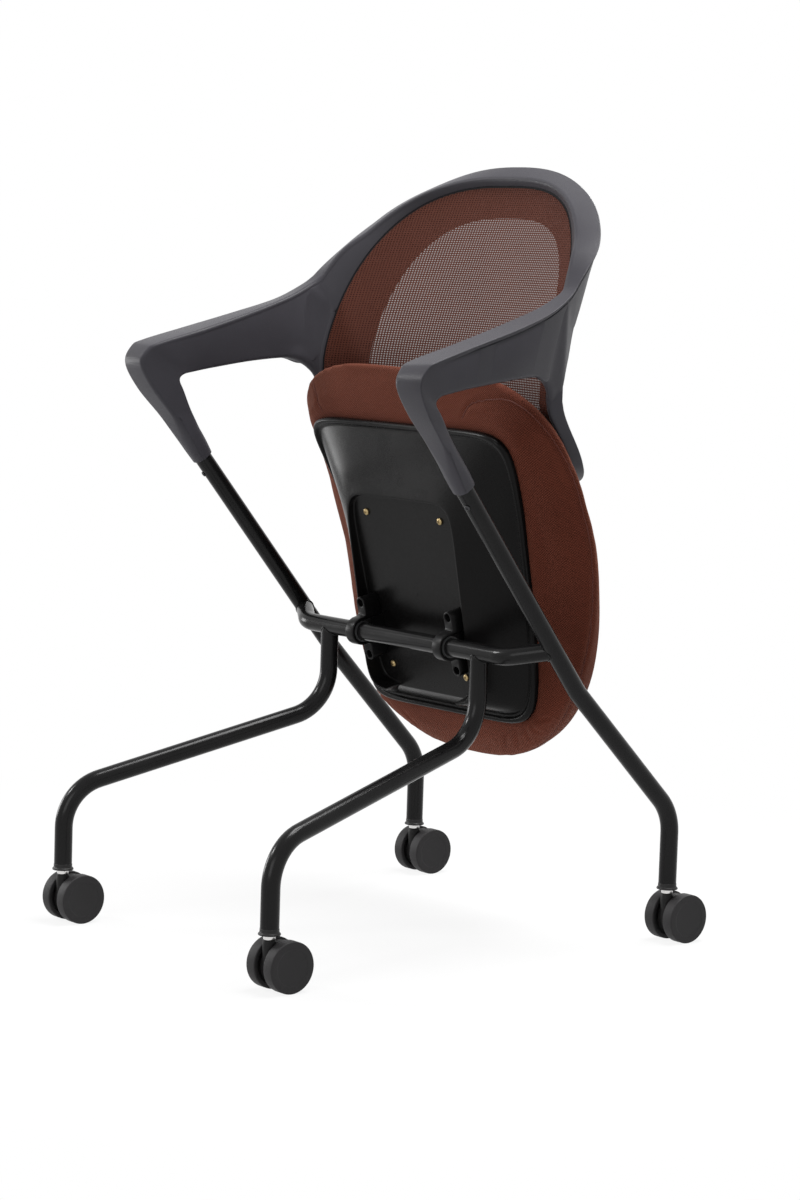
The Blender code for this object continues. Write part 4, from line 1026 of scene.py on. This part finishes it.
def lower_ring_sections():
    sections = []
    for angle in OUTLINE_ANGLES:
        turn = min(angle, 2 * math.pi - angle)
        if turn > SHOULDER_ANGLE:
            corners = [opening_point(angle, *offset) for offset in LOWER_RING_SECTION]
            drop = Vector((0, 0, LUG_DROP * ramp(math.degrees(turn), *LUG_FADE)))
            corners[2:] = [corner - drop for corner in corners[2:]]
            sections.append(section(corners, (FINE_EDGE, ARM_EDGE, ARM_EDGE, ARM_EDGE)))
    return sections


def shoulder_root(sign):
    """Fills the shoulder between the arm's last section and the head of the upright."""
    points = section([Vector(corner) for corner in ARM_SECTIONS[-1]], (ARM_EDGE,) * 4)
    for turn in np.linspace(SHOULDER_ANGLE, ROOT_END, 10):
        points += [opening_point(turn, *offset) for offset in ROOT_SECTION]
    shape = bmesh.new()
    verts = [shape.verts.new(mirrored(point, sign)) for point in points]
    hull = bmesh.ops.convex_hull(shape, input=verts)
    inside = [item for item in hull["geom_interior"] if isinstance(item, bmesh.types.BMVert)]
    bmesh.ops.delete(shape, geom=inside, context="VERTS")
    return shape


def shoulder_web(sign):
    """The hollow curve by which the arm's underside runs into the front of the upright."""
    ends = [opening_point(WEB_END, *offset) for offset in LOWER_RING_SECTION[2:0:-1]]
    sections = []
    for k in range(WEB_STEPS + 1):
        t = k / WEB_STEPS
        line = []
        for control, end in zip(WEB_CONTROLS, ends):
            first, corner = (Vector(point) for point in control)
            line.append(bend(first, corner, end, t))
        corners = line + [point + Vector(WEB_DEPTH) for point in reversed(line)]
        ring = section(corners, (WEB_EDGE, WEB_EDGE, FINE_EDGE, FINE_EDGE))
        sections.append([mirrored(point, sign) for point in ring])
    return skin(bmesh.new(), sections)


def smoothed_shoulder(mesh, sign):
    """The moulding's skin at one shoulder, with its hollows filled and smoothed."""
    shape = bmesh.new()
    shape.from_mesh(mesh)
    item = scratch_object(combined(shape, [("UNION", form(sign)) for form in (shoulder_root, shoulder_web)]))
    remesh_evenly(item, SHOULDER_VOXEL)
    shape = bmesh.new()
    shape.from_mesh(finished(item))
    line = dense([mirrored(point, sign) for point in SHOULDER_LINE], SHOULDER_STEP)
    gaps = distances([v.co for v in shape.verts], line)
    far = [v for v, gap in zip(list(shape.verts), gaps) if gap > SHOULDER_REACH]
    bmesh.ops.delete(shape, geom=far, context="VERTS")
    shape.verts.index_update()
    places = np.array([v.co for v in shape.verts])
    rim = [mirrored(point, sign) for point in [row[0] for row in ARM_SECTIONS[-3:]] + [SHOULDER_RIM_END]]
    shares = ramp(distances(places, line), SHOULDER_REACH, SHOULDER_CORE)
    shares *= ramp(distances(places, dense(rim, SHOULDER_STEP)), *SHOULDER_RIM_FADE)
    shares *= [not v.is_boundary for v in shape.verts]
    shares = shares[:, None]
    pairs = np.array([[v.index for v in edge.verts] for edge in shape.edges])
    for _ in range(SHOULDER_ROUNDS):
        places += 0.5 * shares * (neighbour_means(places, pairs) - places)
    for vert, place, share in zip(shape.verts, places, shares):
        vert.co = Vector(place) - vert.normal * SHOULDER_SINK * (1 - share[0])
    return mesh_of(shape, "shoulder", outwards=False)


def build_moulding():
    shape = skin(bmesh.new(), moulding_sections())
    lower = skin(bmesh.new(), lower_ring_sections())
    mesh = combined(shape, [("UNION", lower)])
    for side, sign in SIDES:
        shoulder = smoothed_shoulder(mesh, sign)
        make_piece_of(side + "_shoulder", shoulder, "chair_frame", "moulding", sharp=180)
    make_piece_of("back_moulding", mesh, "chair_frame", "moulding", ["back_frame"], 50)


# Mesh back


def run_lengths(values, slope_at):
    """Length along a curve at each value, from its slope."""
    grid = np.linspace(min(values), max(values), 400)
    slopes = [slope_at(middle) for middle in (grid[1:] + grid[:-1]) / 2]
    steps = np.hypot(np.diff(grid), slopes * np.diff(grid))
    return grid, np.concatenate([[0.0], np.cumsum(steps)])


def set_weave(piece):
    """Stores yarn coordinates in metres: across the back, and up along its curve."""
    points = points_of(piece.data.vertices)
    across = run_lengths(points[:, 0], lambda x: -2 * BACK_WRAP * x)
    rise = 2 * SLOPE_STEP
    up = run_lengths(points[:, 2], lambda z: (back_y(0, z + SLOPE_STEP) - back_y(0, z - SLOPE_STEP)) / rise)
    weave = np.zeros_like(points)
    weave[:, 0] = np.interp(points[:, 0], *across)
    weave[:, 1] = np.interp(points[:, 2], *up)
    layer = piece.data.attributes.new("weave", "FLOAT_VECTOR", "POINT")
    layer.data.foreach_set("vector", weave.ravel())


def back_ring(spot):
    """A ring round the opening. At an angle, spot gives x, z and the distance behind the back's surface."""
    ring = []
    for angle in OUTLINE_ANGLES:
        x, z, rearwards = spot(angle)
        ring.append(Vector((x, back_y(x, z) + rearwards, z)))
    return ring


def shrunk(share):
    def spot(angle):
        x, z = opening(angle, MESH_EDGE)
        return x * share, OPENING_WAIST_Z + (z - OPENING_WAIST_Z) * share, 0.0

    return spot


def lined(t):
    """The lining's place from the mesh's edge (0) to the sheer window (1)."""
    side, top, bottom = LINING_INSETS

    def spot(angle):
        low = max(0.0, -math.cos(angle))
        outer = Vector(opening(angle, MESH_EDGE))
        inner = Vector(opening(angle, side + LINING_FLARE * low, top, bottom))
        return *(outer + (inner - outer) * t), LINING_SETBACK + LINING_LEAN * t * (1 - low)

    return spot


def build_mesh_back():
    rounded = section([Vector((a, b, 0)) for a, b in GASKET_CORNERS], GASKET_EDGES)
    rings = [back_ring(lambda angle: (*opening(angle, p.x), p.y)) for p in rounded]
    shape = skin(bmesh.new(), rings, closed=True)
    spline = make_piece("mesh_gasket", shape, "chair_frame", "spline", ["mesh_spline"])

    rings = [back_ring(shrunk(share)) for share in np.linspace(1.0, MESH_CENTRE, MESH_RINGS)]
    shape = skin(bmesh.new(), rings, capped=False)
    shape.faces.new(list(shape.verts)[-OUTLINE_STEPS:])
    mesh = make_piece("stretched_mesh", shape, "chair_frame", "mesh", ["back_mesh"], 180)
    shape = skin(bmesh.new(), [back_ring(lined(t)) for t in np.linspace(0, 1, LINING_RINGS)], capped=False)
    lining = make_piece("border_lining", shape, "chair_frame", "lining", ["mesh_lining"], 180)
    for piece in (mesh, lining):
        set_weave(piece)


# Seat cushion


def cushion_xy(angle, inset):
    rear = math.cos(angle) >= 0
    reach = CUSHION_REAR if rear else CUSHION_FRONT
    power = CUSHION_REAR_POWER if rear else CUSHION_FRONT_POWER
    x, y = superellipse(angle, CUSHION_HALF_WIDTH - inset, reach - inset, power)
    return x, CUSHION_MIDDLE_Y + y


def front_drop(y):
    ahead = max(0.0, CUSHION_ROLL_START_Y - y)
    reach = CUSHION_ROLL_START_Y - CUSHION_MIDDLE_Y + CUSHION_FRONT
    return CUSHION_FRONT_DROP * (ahead / reach) ** CUSHION_ROLL_POWER


def pan_rim(angle, inset):
    share = superellipse(angle, 1, 1, PAN_POWER)
    taper = (PAN_REAR_HALF_WIDTH - PAN_FRONT_HALF_WIDTH) / 2
    flare = (PAN_REAR_HALF_WIDTH + PAN_FRONT_HALF_WIDTH) / 2 - PAN_MIDDLE_HALF_WIDTH
    half = PAN_MIDDLE_HALF_WIDTH + taper * share[1] + flare * share[1] ** 2
    return Vector(((half - inset) * share[0], PAN_MIDDLE_Y + (PAN_REACH - inset) * share[1]))


def pan_rim_level(y):
    return PAN_RIM_Z + PAN_BOW * max(0.0, 1 - ((y - PAN_MIDDLE_Y) / PAN_REACH) ** 2)


def cushion_point(angle, t, inset=0.0):
    """A place on the cushion's side: 0 at the pan, 1 at the fullest, 2 at the top."""
    bearing = abs(math.degrees(math.remainder(angle, 2 * math.pi)))
    fullness, fullest = blended(CUSHION_SIDES, bearing)
    lift = 0.0
    if t <= 1:
        edge = Vector(cushion_xy(angle, inset))
        place = edge.lerp(pan_rim(angle, inset - CUSHION_RIM_MARGIN), (1 - t) ** fullness)
        level = fullest * t
        lift = (1 - t) ** 2 * (pan_rim_level(place.y) + CLEARANCE - CUSHION_BOTTOM_Z)
    else:
        turn = (t - 1) * CUSHION_TURN
        place = Vector(cushion_xy(angle, inset + CUSHION_SHOULDER * (1 - math.cos(turn))))
        level = fullest + (1 - fullest) * math.sin(turn)
    height = CUSHION_HEIGHT - inset - front_drop(place.y)
    return Vector((place.x, place.y, CUSHION_BOTTOM_Z + level * height + lift))


def cushion_shape(slack):
    angles = ring_angles(CUSHION_STEPS)
    inside = [pan_rim(a, PAN_RIM_WIDTH + CUSHION_TUCK) for a in angles]
    core = [pan_rim(a, BOARD_MARGIN) for a in angles]
    rings = [
        [Vector((p.x, p.y, CUSHION_BOTTOM_Z)) for p in core],
        [Vector((p.x, p.y, pan_rim_level(p.y) + 2 * CLEARANCE)) for p in inside],
    ]
    levels = 2 * np.linspace(0, 1, CUSHION_SIDE_RINGS) ** CUSHION_SIDE_SPACING
    rings += [[cushion_point(a, t, slack) for a in angles] for t in levels]
    for share in CUSHION_TOP_RINGS:
        ring = []
        for angle in angles:
            x, y = cushion_xy(angle, CUSHION_SHOULDER + slack)
            x *= share
            y = CUSHION_MIDDLE_Y + (y - CUSHION_MIDDLE_Y) * share
            top = CUSHION_BOTTOM_Z + CUSHION_HEIGHT - slack + CUSHION_CROWN * (1 - share * share)
            ring.append(Vector((x, y, top - front_drop(y))))
        rings.append(ring)
    return skin(bmesh.new(), rings)


def swollen(mesh):
    """Remeshes the pad evenly and swells it with a short cloth run, held flat where it rests."""
    item = scratch_object(mesh)
    remesh_evenly(item, CUSHION_VOXEL)
    even = modified(item)
    item.modifiers.clear()
    item.data = even
    start = points_of(even.vertices)
    floor = np.array([pan_rim_level(y) for y in start[:, 1]]) + HELD_BAND
    resting = np.nonzero(start[:, 2] < floor)[0]
    held = item.vertex_groups.new(name="held")
    held.add([int(k) for k in resting], 1.0, "REPLACE")
    cloth = item.modifiers.new("cloth", "CLOTH")
    for key, value in CLOTH.items():
        setattr(cloth.settings, key, value)
    cloth.settings.effector_weights.gravity = 0.0
    cloth.settings.vertex_group_mass = held.name
    cloth.point_cache.frame_start = 1
    cloth.point_cache.frame_end = CLOTH_FRAMES
    scene = bpy.context.scene
    for number in range(1, CLOTH_FRAMES + 1):
        scene.frame_set(number)
    shift = points_of(modified(item).vertices) - start
    scene.frame_set(1)
    item.modifiers.clear()
    length = np.linalg.norm(shift, axis=1, keepdims=True)
    shift *= np.minimum(1.0, CUSHION_SWELL / np.maximum(length, 1e-9))
    pairs = np.array([edge.vertices[:] for edge in even.edges])
    for _ in range(SWELL_ROUNDS):
        shift = 0.5 * shift + 0.5 * neighbour_means(shift, pairs)
        shift[resting] = 0.0
    even.vertices.foreach_set("co", ((start + shift) * (CUSHION_SPREAD, 1.0, 1.0)).ravel())
    even.update()
    finer = item.modifiers.new("finer", "SUBSURF")
    finer.levels = 1
    finer.render_levels = 1
    return finished(item)


def seam_lines():
    """Sewn lines of the cover: round each front corner from the pan and on along the side."""
    lines = []
    for sign, stations in SEAMS.items():
        keys = list(enumerate(stations))
        places = [blended(keys, place) for place in np.linspace(0, len(keys) - 1, SEAM_POINTS)]
        lines.append([cushion_point(sign * math.radians(turn), t, CUSHION_SLACK) for turn, t in places])
    return lines


def pleat_lines():
    """Short tucks where the cover is pulled under at the back."""
    lines = []
    for turn, length in PLEATS:
        places = np.linspace(PLEAT_START, length, PLEAT_POINTS)
        lines.append([cushion_point(math.radians(turn + PLEAT_LEAN * t), t) for t in places])
    return lines


def sew(mesh):
    """Presses the seams and tucks into the cover."""
    points = points_of(mesh.vertices)
    push = np.zeros(len(points))
    for lines, press in ((seam_lines(), SEAM_PRESS), (pleat_lines(), PLEAT_PRESS)):
        depth, width, ridge, offset, spread = press
        for line in lines:
            gap = distances(points, dense(line))
            push -= depth * np.exp(-((gap / width) ** 2))
            push += ridge * np.exp(-(((gap - offset) / spread) ** 2))
    floor = np.array([pan_rim_level(y) for y in points[:, 1]])
    push *= ramp(points[:, 2] - floor, *PRESS_FADE)
    moved = points + points_of(mesh.vertices, "normal") * push[:, None]
    mesh.vertices.foreach_set("co", moved.ravel())
    mesh.update()


def build_cushion():
    made = swollen(mesh_of(cushion_shape(CUSHION_SLACK), "cushion"))
    sew(made)
    piece = make_piece_of("cushion", made, "seat", "fabric", ["seat_cushion"], 180, SEAT_FRAME)
    surface = BVHTree.FromPolygons([v.co for v in made.vertices], [p.vertices for p in made.polygons])
    shape = bmesh.new()
    for line in seam_lines():
        points = [surface.find_nearest(point)[0] for point in line]
        aheads = [(b - a).normalized() for a, b in zip([points[0]] + points, points[1:] + [points[-1]])]
        pipe(shape, list(zip(points, aheads[1:] + aheads[-1:])), SEAM_RADIUS, 8)
    make_piece("cushion_seam", shape, "seat", "thread", place=SEAT_FRAME)


# Seat pan and hinge


def plateau_wall(x, y):
    """How far the wall round the pan's middle stands out: more to the rear, none in the rear notch."""
    along = (y - PLATEAU_FRONT_Y) / (PLATEAU_REAR_Y - PLATEAU_FRONT_Y)
    wall = PLATEAU_FRONT_WALL + (PLATEAU_REAR_WALL - PLATEAU_FRONT_WALL) * along
    if along < PLATEAU_NOTCH_START:
        return wall
    return wall * ramp(abs(x), *PLATEAU_NOTCH)


def pan_outline(inset, depth, plateau=0.0, walled=1.0):
    """Ring round the pan, a depth below its rim (plateau 0) or below the wall or floor of its middle (1)."""
    ring = []
    for angle in ring_angles(PAN_STEPS):
        share = superellipse(angle, 1, 1, PAN_POWER)
        y = PLATEAU_MIDDLE_Y + (PLATEAU_REACH - inset) * share[1]
        core = Vector(((PLATEAU_HALF_WIDTH - inset) * share[0], y))
        rim = pan_rim(angle, inset)
        low = PLATEAU_Z - walled * plateau_wall(PLATEAU_HALF_WIDTH * share[0], core.y)
        high = pan_rim_level(rim.y)
        place = rim.lerp(core, plateau)
        ring.append(Vector((place.x, place.y, high + (low - high) * plateau - depth)))
    return ring


def box_shape(low, high):
    shape = bmesh.new()
    bmesh.ops.create_cube(shape, size=1.0)
    size = Vector(high) - Vector(low)
    bmesh.ops.scale(shape, verts=shape.verts, vec=size)
    bmesh.ops.translate(shape, verts=shape.verts, vec=(Vector(low) + Vector(high)) / 2)
    return shape


def build_pan():
    """Dished cover: beaded rim with a groove inside it, sloping flank, walled middle."""
    groove = PAN_RIM_HEIGHT - PAN_GROOVE
    flank = groove / 2 + PAN_WALL
    keys = [
        (PLATEAU_WALL * 1.5 + 0.004, 0.0, 1.0, 0.0),
        (PLATEAU_WALL * 1.5, 0.0, 1.0, 0.0),
        (PLATEAU_WALL, 0.0, 1.0, 1.0),
        (0.0, 0.0, 1.0, 1.0),
        (PAN_RIM_WIDTH, flank, 0.5, 1.0),
        (PAN_RIM_WIDTH + PAN_WALL, groove + PAN_WALL / 3, 0.0, 1.0),
        (PAN_RIM_WIDTH, groove, 0.0, 1.0),
        (PAN_RIM_WIDTH * 0.75, PAN_RIM_HEIGHT, 0.0, 1.0),
        (PAN_RIM_WIDTH * 0.3, PAN_RIM_HEIGHT, 0.0, 1.0),
        (0.0, PAN_RIM_HEIGHT - PAN_WALL, 0.0, 1.0),
        (0.0, 0.0, 0.0, 1.0),
        (PAN_RIM_WIDTH, 0.0, 0.0, 1.0),
        (PAN_RIM_WIDTH, groove - PAN_WALL / 2, 0.0, 1.0),
        (PAN_RIM_WIDTH, flank - PAN_WALL * 1.25, 0.5, 1.0),
        (0.0, -PAN_WALL, 1.0, 0.0),
    ]
    reach = (0, 0.3, 0.12, 0.12, 0.42, 0.36, 0.36, 0.36, 0.36, 0.36, 0.2, 0.2, 0.36, 0.36, 0)
    stations = [np.array(key) for key in keys]
    rounded = [stations[0]]
    for before, corner, after, share in zip(stations, stations[1:], stations[2:], reach[1:]):
        start = corner + (before - corner) * share
        end = corner + (after - corner) * share
        rounded += [bend(start, corner, end, t) for t in (0, 0.2, 0.4, 0.6, 0.8, 1)]
    rounded.append(stations[-1])
    shape = skin(bmesh.new(), [pan_outline(*station) for station in rounded])
    mark = lathe(bmesh.new(), MARK_PROFILE, (0, 0, 1), MARK_SIDES, (0, MARK_Y, 0))
    mesh = combined(shape, [("UNION", mark)])
    make_piece_of("pan", mesh, "seat", "pan", ["seat_pan"], 40, SEAT_FRAME)


def screw_mesh(recess):
    """Pan-head screw about Z, head downwards, with its top at z = 0."""
    height = SCREW_HEAD_HEIGHT
    radius = SCREW_HEAD_RADIUS
    profile = [(-height, 1e-5)]
    for k in range(1, SCREW_DOME_STEPS + 1):
        turn = math.pi / 2 * k / SCREW_DOME_STEPS
        rise = 1 - SCREW_DOME + SCREW_DOME * math.cos(turn)
        profile.append((-height * rise, radius * math.sin(turn)))
    profile += [(0.0, radius), (0.0, SHANK_RADIUS), (SHANK_LENGTH, SHANK_RADIUS)]
    shape = lathe(bmesh.new(), profile, (0, 0, 1), SCREW_SIDES)
    low = -height - RECESS_START
    if recess == "cross":
        high = -height + CROSS_DEPTH
        cutters = [box_shape((-x, -y, low), (x, y, high)) for x, y in CROSS_SLOTS]
    else:
        high = -height + SOCKET_DEPTH
        cutters = [lathe(bmesh.new(), ((low, SOCKET_RADIUS), (high, SOCKET_RADIUS)), (0, 0, 1), 6)]
    return combined(shape, [("DIFFERENCE", cutter) for cutter in cutters])


def build_screws():
    cross = screw_mesh("cross")
    socket = screw_mesh("socket")
    clamp_top = CLAMP_EAR_Z + CLAMP_COUNTERBORE - CLEARANCE
    kinds = (
        ("pan_screw", cross, "screw_brass", PLATEAU_Z - CLEARANCE, PAN_SCREW_X, PAN_SCREW_Y),
        ("clamp_screw", socket, "screw_steel", clamp_top, CLAMP_X, (-CLAMP_SCREW_Y, CLAMP_SCREW_Y)),
    )
    start, by_x, by_y = SCREW_TURNS
    for kind, mesh, slot, top, x, places in kinds:
        for y in places:
            for side, sign in SIDES:
                corner = ("front" if y < 0 else "rear") + "_" + side
                turn = Matrix.Rotation(start + by_x * x + by_y * y + sign, 4, "Z")
                place = SEAT_FRAME @ Matrix.Translation((sign * x, y, top)) @ turn
                name = f"{corner}_{kind}"
                make_piece_of(name + "_head", mesh.copy(), "seat", slot, [name], 35, place)
    for side, sign in SIDES:
        ahead = arm_direction(sign)
        inward = Vector((-sign, 0, 0))
        inward = (inward - ahead * inward.dot(ahead)).normalized()
        inward = Matrix.Rotation(-sign * ARM_SCREW_TURN, 3, ahead) @ inward
        centre = mirrored(ARM_JOINT, sign) - ahead * ARM_SCREW_SETBACK
        centre -= inward * (TUBE_RADIUS + ARM_SCREW_LIFT)
        turn = inward.to_track_quat("Z", "Y").to_matrix().to_4x4()
        place = Matrix.Translation(centre) @ turn @ Matrix.Diagonal(ARM_SCREW_SCALE)
        name = side + "_arm_screw"
        make_piece_of(name + "_head", socket.copy(), "chair_frame", "screw_steel", [name], 35, place)


def arc(radius, start, end, steps=28):
    turns = [start + (end - start) * k / steps for k in range(steps + 1)]
    return [(radius * math.cos(t), radius * math.sin(t)) for t in turns]


def build_clamps():
    """Straps round the crossbar with a rounded ear and a deep screw pocket at either end."""
    top = PLATEAU_Z - CLEARANCE
    strap = CLAMP_BORE + CLAMP_WALL
    half = CLAMP_WIDTH / 2
    ear = [
        (CLAMP_EAR_Y + CLAMP_OVERRUN, top),
        (CLAMP_EAR_Y + CLAMP_OVERRUN, CLAMP_EAR_Z),
        (strap + CLAMP_FILLET, CLAMP_EAR_Z),
        (strap + CLAMP_FILLET / 4, CLAMP_EAR_Z - CLAMP_FILLET / 4),
        (strap, CLAMP_EAR_Z - CLAMP_FILLET),
    ]
    other = [(-y, z) for y, z in reversed(ear)]
    inside = [(-CLAMP_BORE, top)] + arc(CLAMP_BORE, -math.pi, 0) + [(CLAMP_BORE, top)]
    outline = ear + arc(strap, 0, -math.pi)[1:-1] + other + inside
    plan = []
    for end in (1, -1):
        for k in range(CLAMP_EAR_STEPS + 1):
            turn = math.pi * k / CLAMP_EAR_STEPS - math.pi / 2
            y = CLAMP_EAR_Y - half + half * math.cos(turn)
            plan.append((-end * half * math.sin(turn), end * y))
    for side, sign in SIDES:
        x = sign * CLAMP_X
        faces = x - CLAMP_BLANK_HALF_WIDTH, x + CLAMP_BLANK_HALF_WIDTH
        shape = skin(bmesh.new(), [[Vector((face, y, z)) for y, z in outline] for face in faces])
        shell = skin(bmesh.new(), [[Vector((x + a, b, z)) for a, b in plan] for z in CLAMP_SHELL_Z])
        cuts = [("INTERSECT", shell)]
        for y in (-CLAMP_SCREW_Y, CLAMP_SCREW_Y):
            cuts.append(("DIFFERENCE", lathe(bmesh.new(), CLAMP_POCKET, (0, 0, 1), SCREW_SIDES, (x, y, 0))))
        mesh = bevelled(combined(shape, cuts), CLAMP_BEVEL)
        make_piece_of(side + "_clamp", mesh, "seat", "clamp", [side + "_hinge_clamp"], 40, SEAT_FRAME)


def dress_hidden_nodes():
    """CAD nodes that stay, with a real finish."""
    kept = {"seat_board": "plywood"}
    for side, _ in SIDES:
        kept[side + "_hinge_bush"] = "bush"
        kept[side + "_hinge_packing"] = "clamp"
    for corner in CORNERS:
        kept[corner + "_castor_axle"] = "axle"
    for node, slot in kept.items():
        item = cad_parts[node]
        item.data.materials.clear()
        item.data.materials.append(FINISHES[slot])


# Stage


def seen_rays(tree):
    """1 for a ray from the camera, off a gloss or through the mesh, which should meet plain white."""
    path = add_node(tree, "ShaderNodeLightPath").outputs
    seen = path["Is Camera Ray"]
    for kind in ("Is Glossy Ray", "Is Transmission Ray"):
        seen = add_node(tree, "ShaderNodeMath", {0: seen, 1: path[kind]}, operation="MAXIMUM").outputs[0]
    return seen


def build_floor():
    """A white floor with a faint shadow near the chair, blown out further off."""
    shape = bmesh.new()
    bmesh.ops.create_grid(shape, x_segments=1, y_segments=1, size=FLOOR_HALF_SIZE)
    floor = add_object("floor", mesh_of(shape, "floor", outwards=False))
    floor.location.z = FLOOR_Z
    made = Finish("floor", FLOOR_COLOUR, 0.85, specular=0.1)
    away = made.node("ShaderNodeVectorMath", {0: made.place}, operation="LENGTH").outputs["Value"]
    glare = made.remap(away, *FLOOR_GLARE, "SMOOTHSTEP")
    share = made.calc("MULTIPLY", seen_rays(made.tree), glare)
    glow = made.node("ShaderNodeEmission", {"Color": WHITE, "Strength": 1.0}).outputs[0]
    blend = made.node("ShaderNodeMixShader", {0: share, 1: made.shader.outputs[0], 2: glow})
    made.tree.links.new(blend.outputs[0], made.tree.nodes["Material Output"].inputs["Surface"])
    floor.data.materials.append(made.material)


def build_world():
    world = bpy.data.worlds.new("studio")
    bpy.context.scene.world = world
    world.use_nodes = True
    tree = world.node_tree
    tree.nodes.clear()
    inputs = {0: seen_rays(tree)}
    for k, strength in enumerate((AMBIENT, 1.0)):
        light = add_node(tree, "ShaderNodeBackground", {"Color": WHITE, "Strength": strength})
        inputs[k + 1] = light.outputs[0]
    blend = add_node(tree, "ShaderNodeMixShader", inputs)
    add_node(tree, "ShaderNodeOutputWorld", {"Surface": blend.outputs[0]})


def build_lamps():
    for name, (place, aim, size, power) in LAMPS.items():
        light = bpy.data.lights.new(name, "AREA")
        light.size = size
        light.energy = power
        lamp = add_object(name, light)
        lamp.location = place
        lamp.rotation_mode = "QUATERNION"
        lamp.rotation_quaternion = (Vector((0, 0, aim)) - Vector(place)).to_track_quat("-Z", "Y")
    bpy.context.scene.view_settings.view_transform = "Standard"


def build_camera():
    a, e, r = CAMERA_AZIMUTH, CAMERA_ELEVATION, CAMERA_ROLL
    back = Vector((math.sin(a) * math.cos(e), -math.cos(a) * math.cos(e), math.sin(e)))
    flat = Vector((math.cos(a), math.sin(a), 0))
    up = back.cross(flat)
    right = math.cos(r) * flat + math.sin(r) * up
    top = -math.sin(r) * flat + math.cos(r) * up
    data = bpy.data.cameras.new("camera")
    data.lens = CAMERA_LENS
    data.sensor_width = CAMERA_SENSOR
    data.clip_end = CAMERA_FAR
    camera = add_object("camera", data)
    place = Vector(CAMERA_TARGET) + flat * CAMERA_SIDESTEP + back * CAMERA_DISTANCE
    turn = Matrix((right, top, back)).transposed().to_4x4()
    camera.matrix_world = Matrix.Translation(place) @ turn
    bpy.context.scene.camera = camera


build_floor()
build_world()
build_lamps()
build_camera()
build_frame()
build_castors()
build_moulding()
build_mesh_back()
build_cushion()
build_pan()
build_clamps()
build_screws()
dress_hidden_nodes()
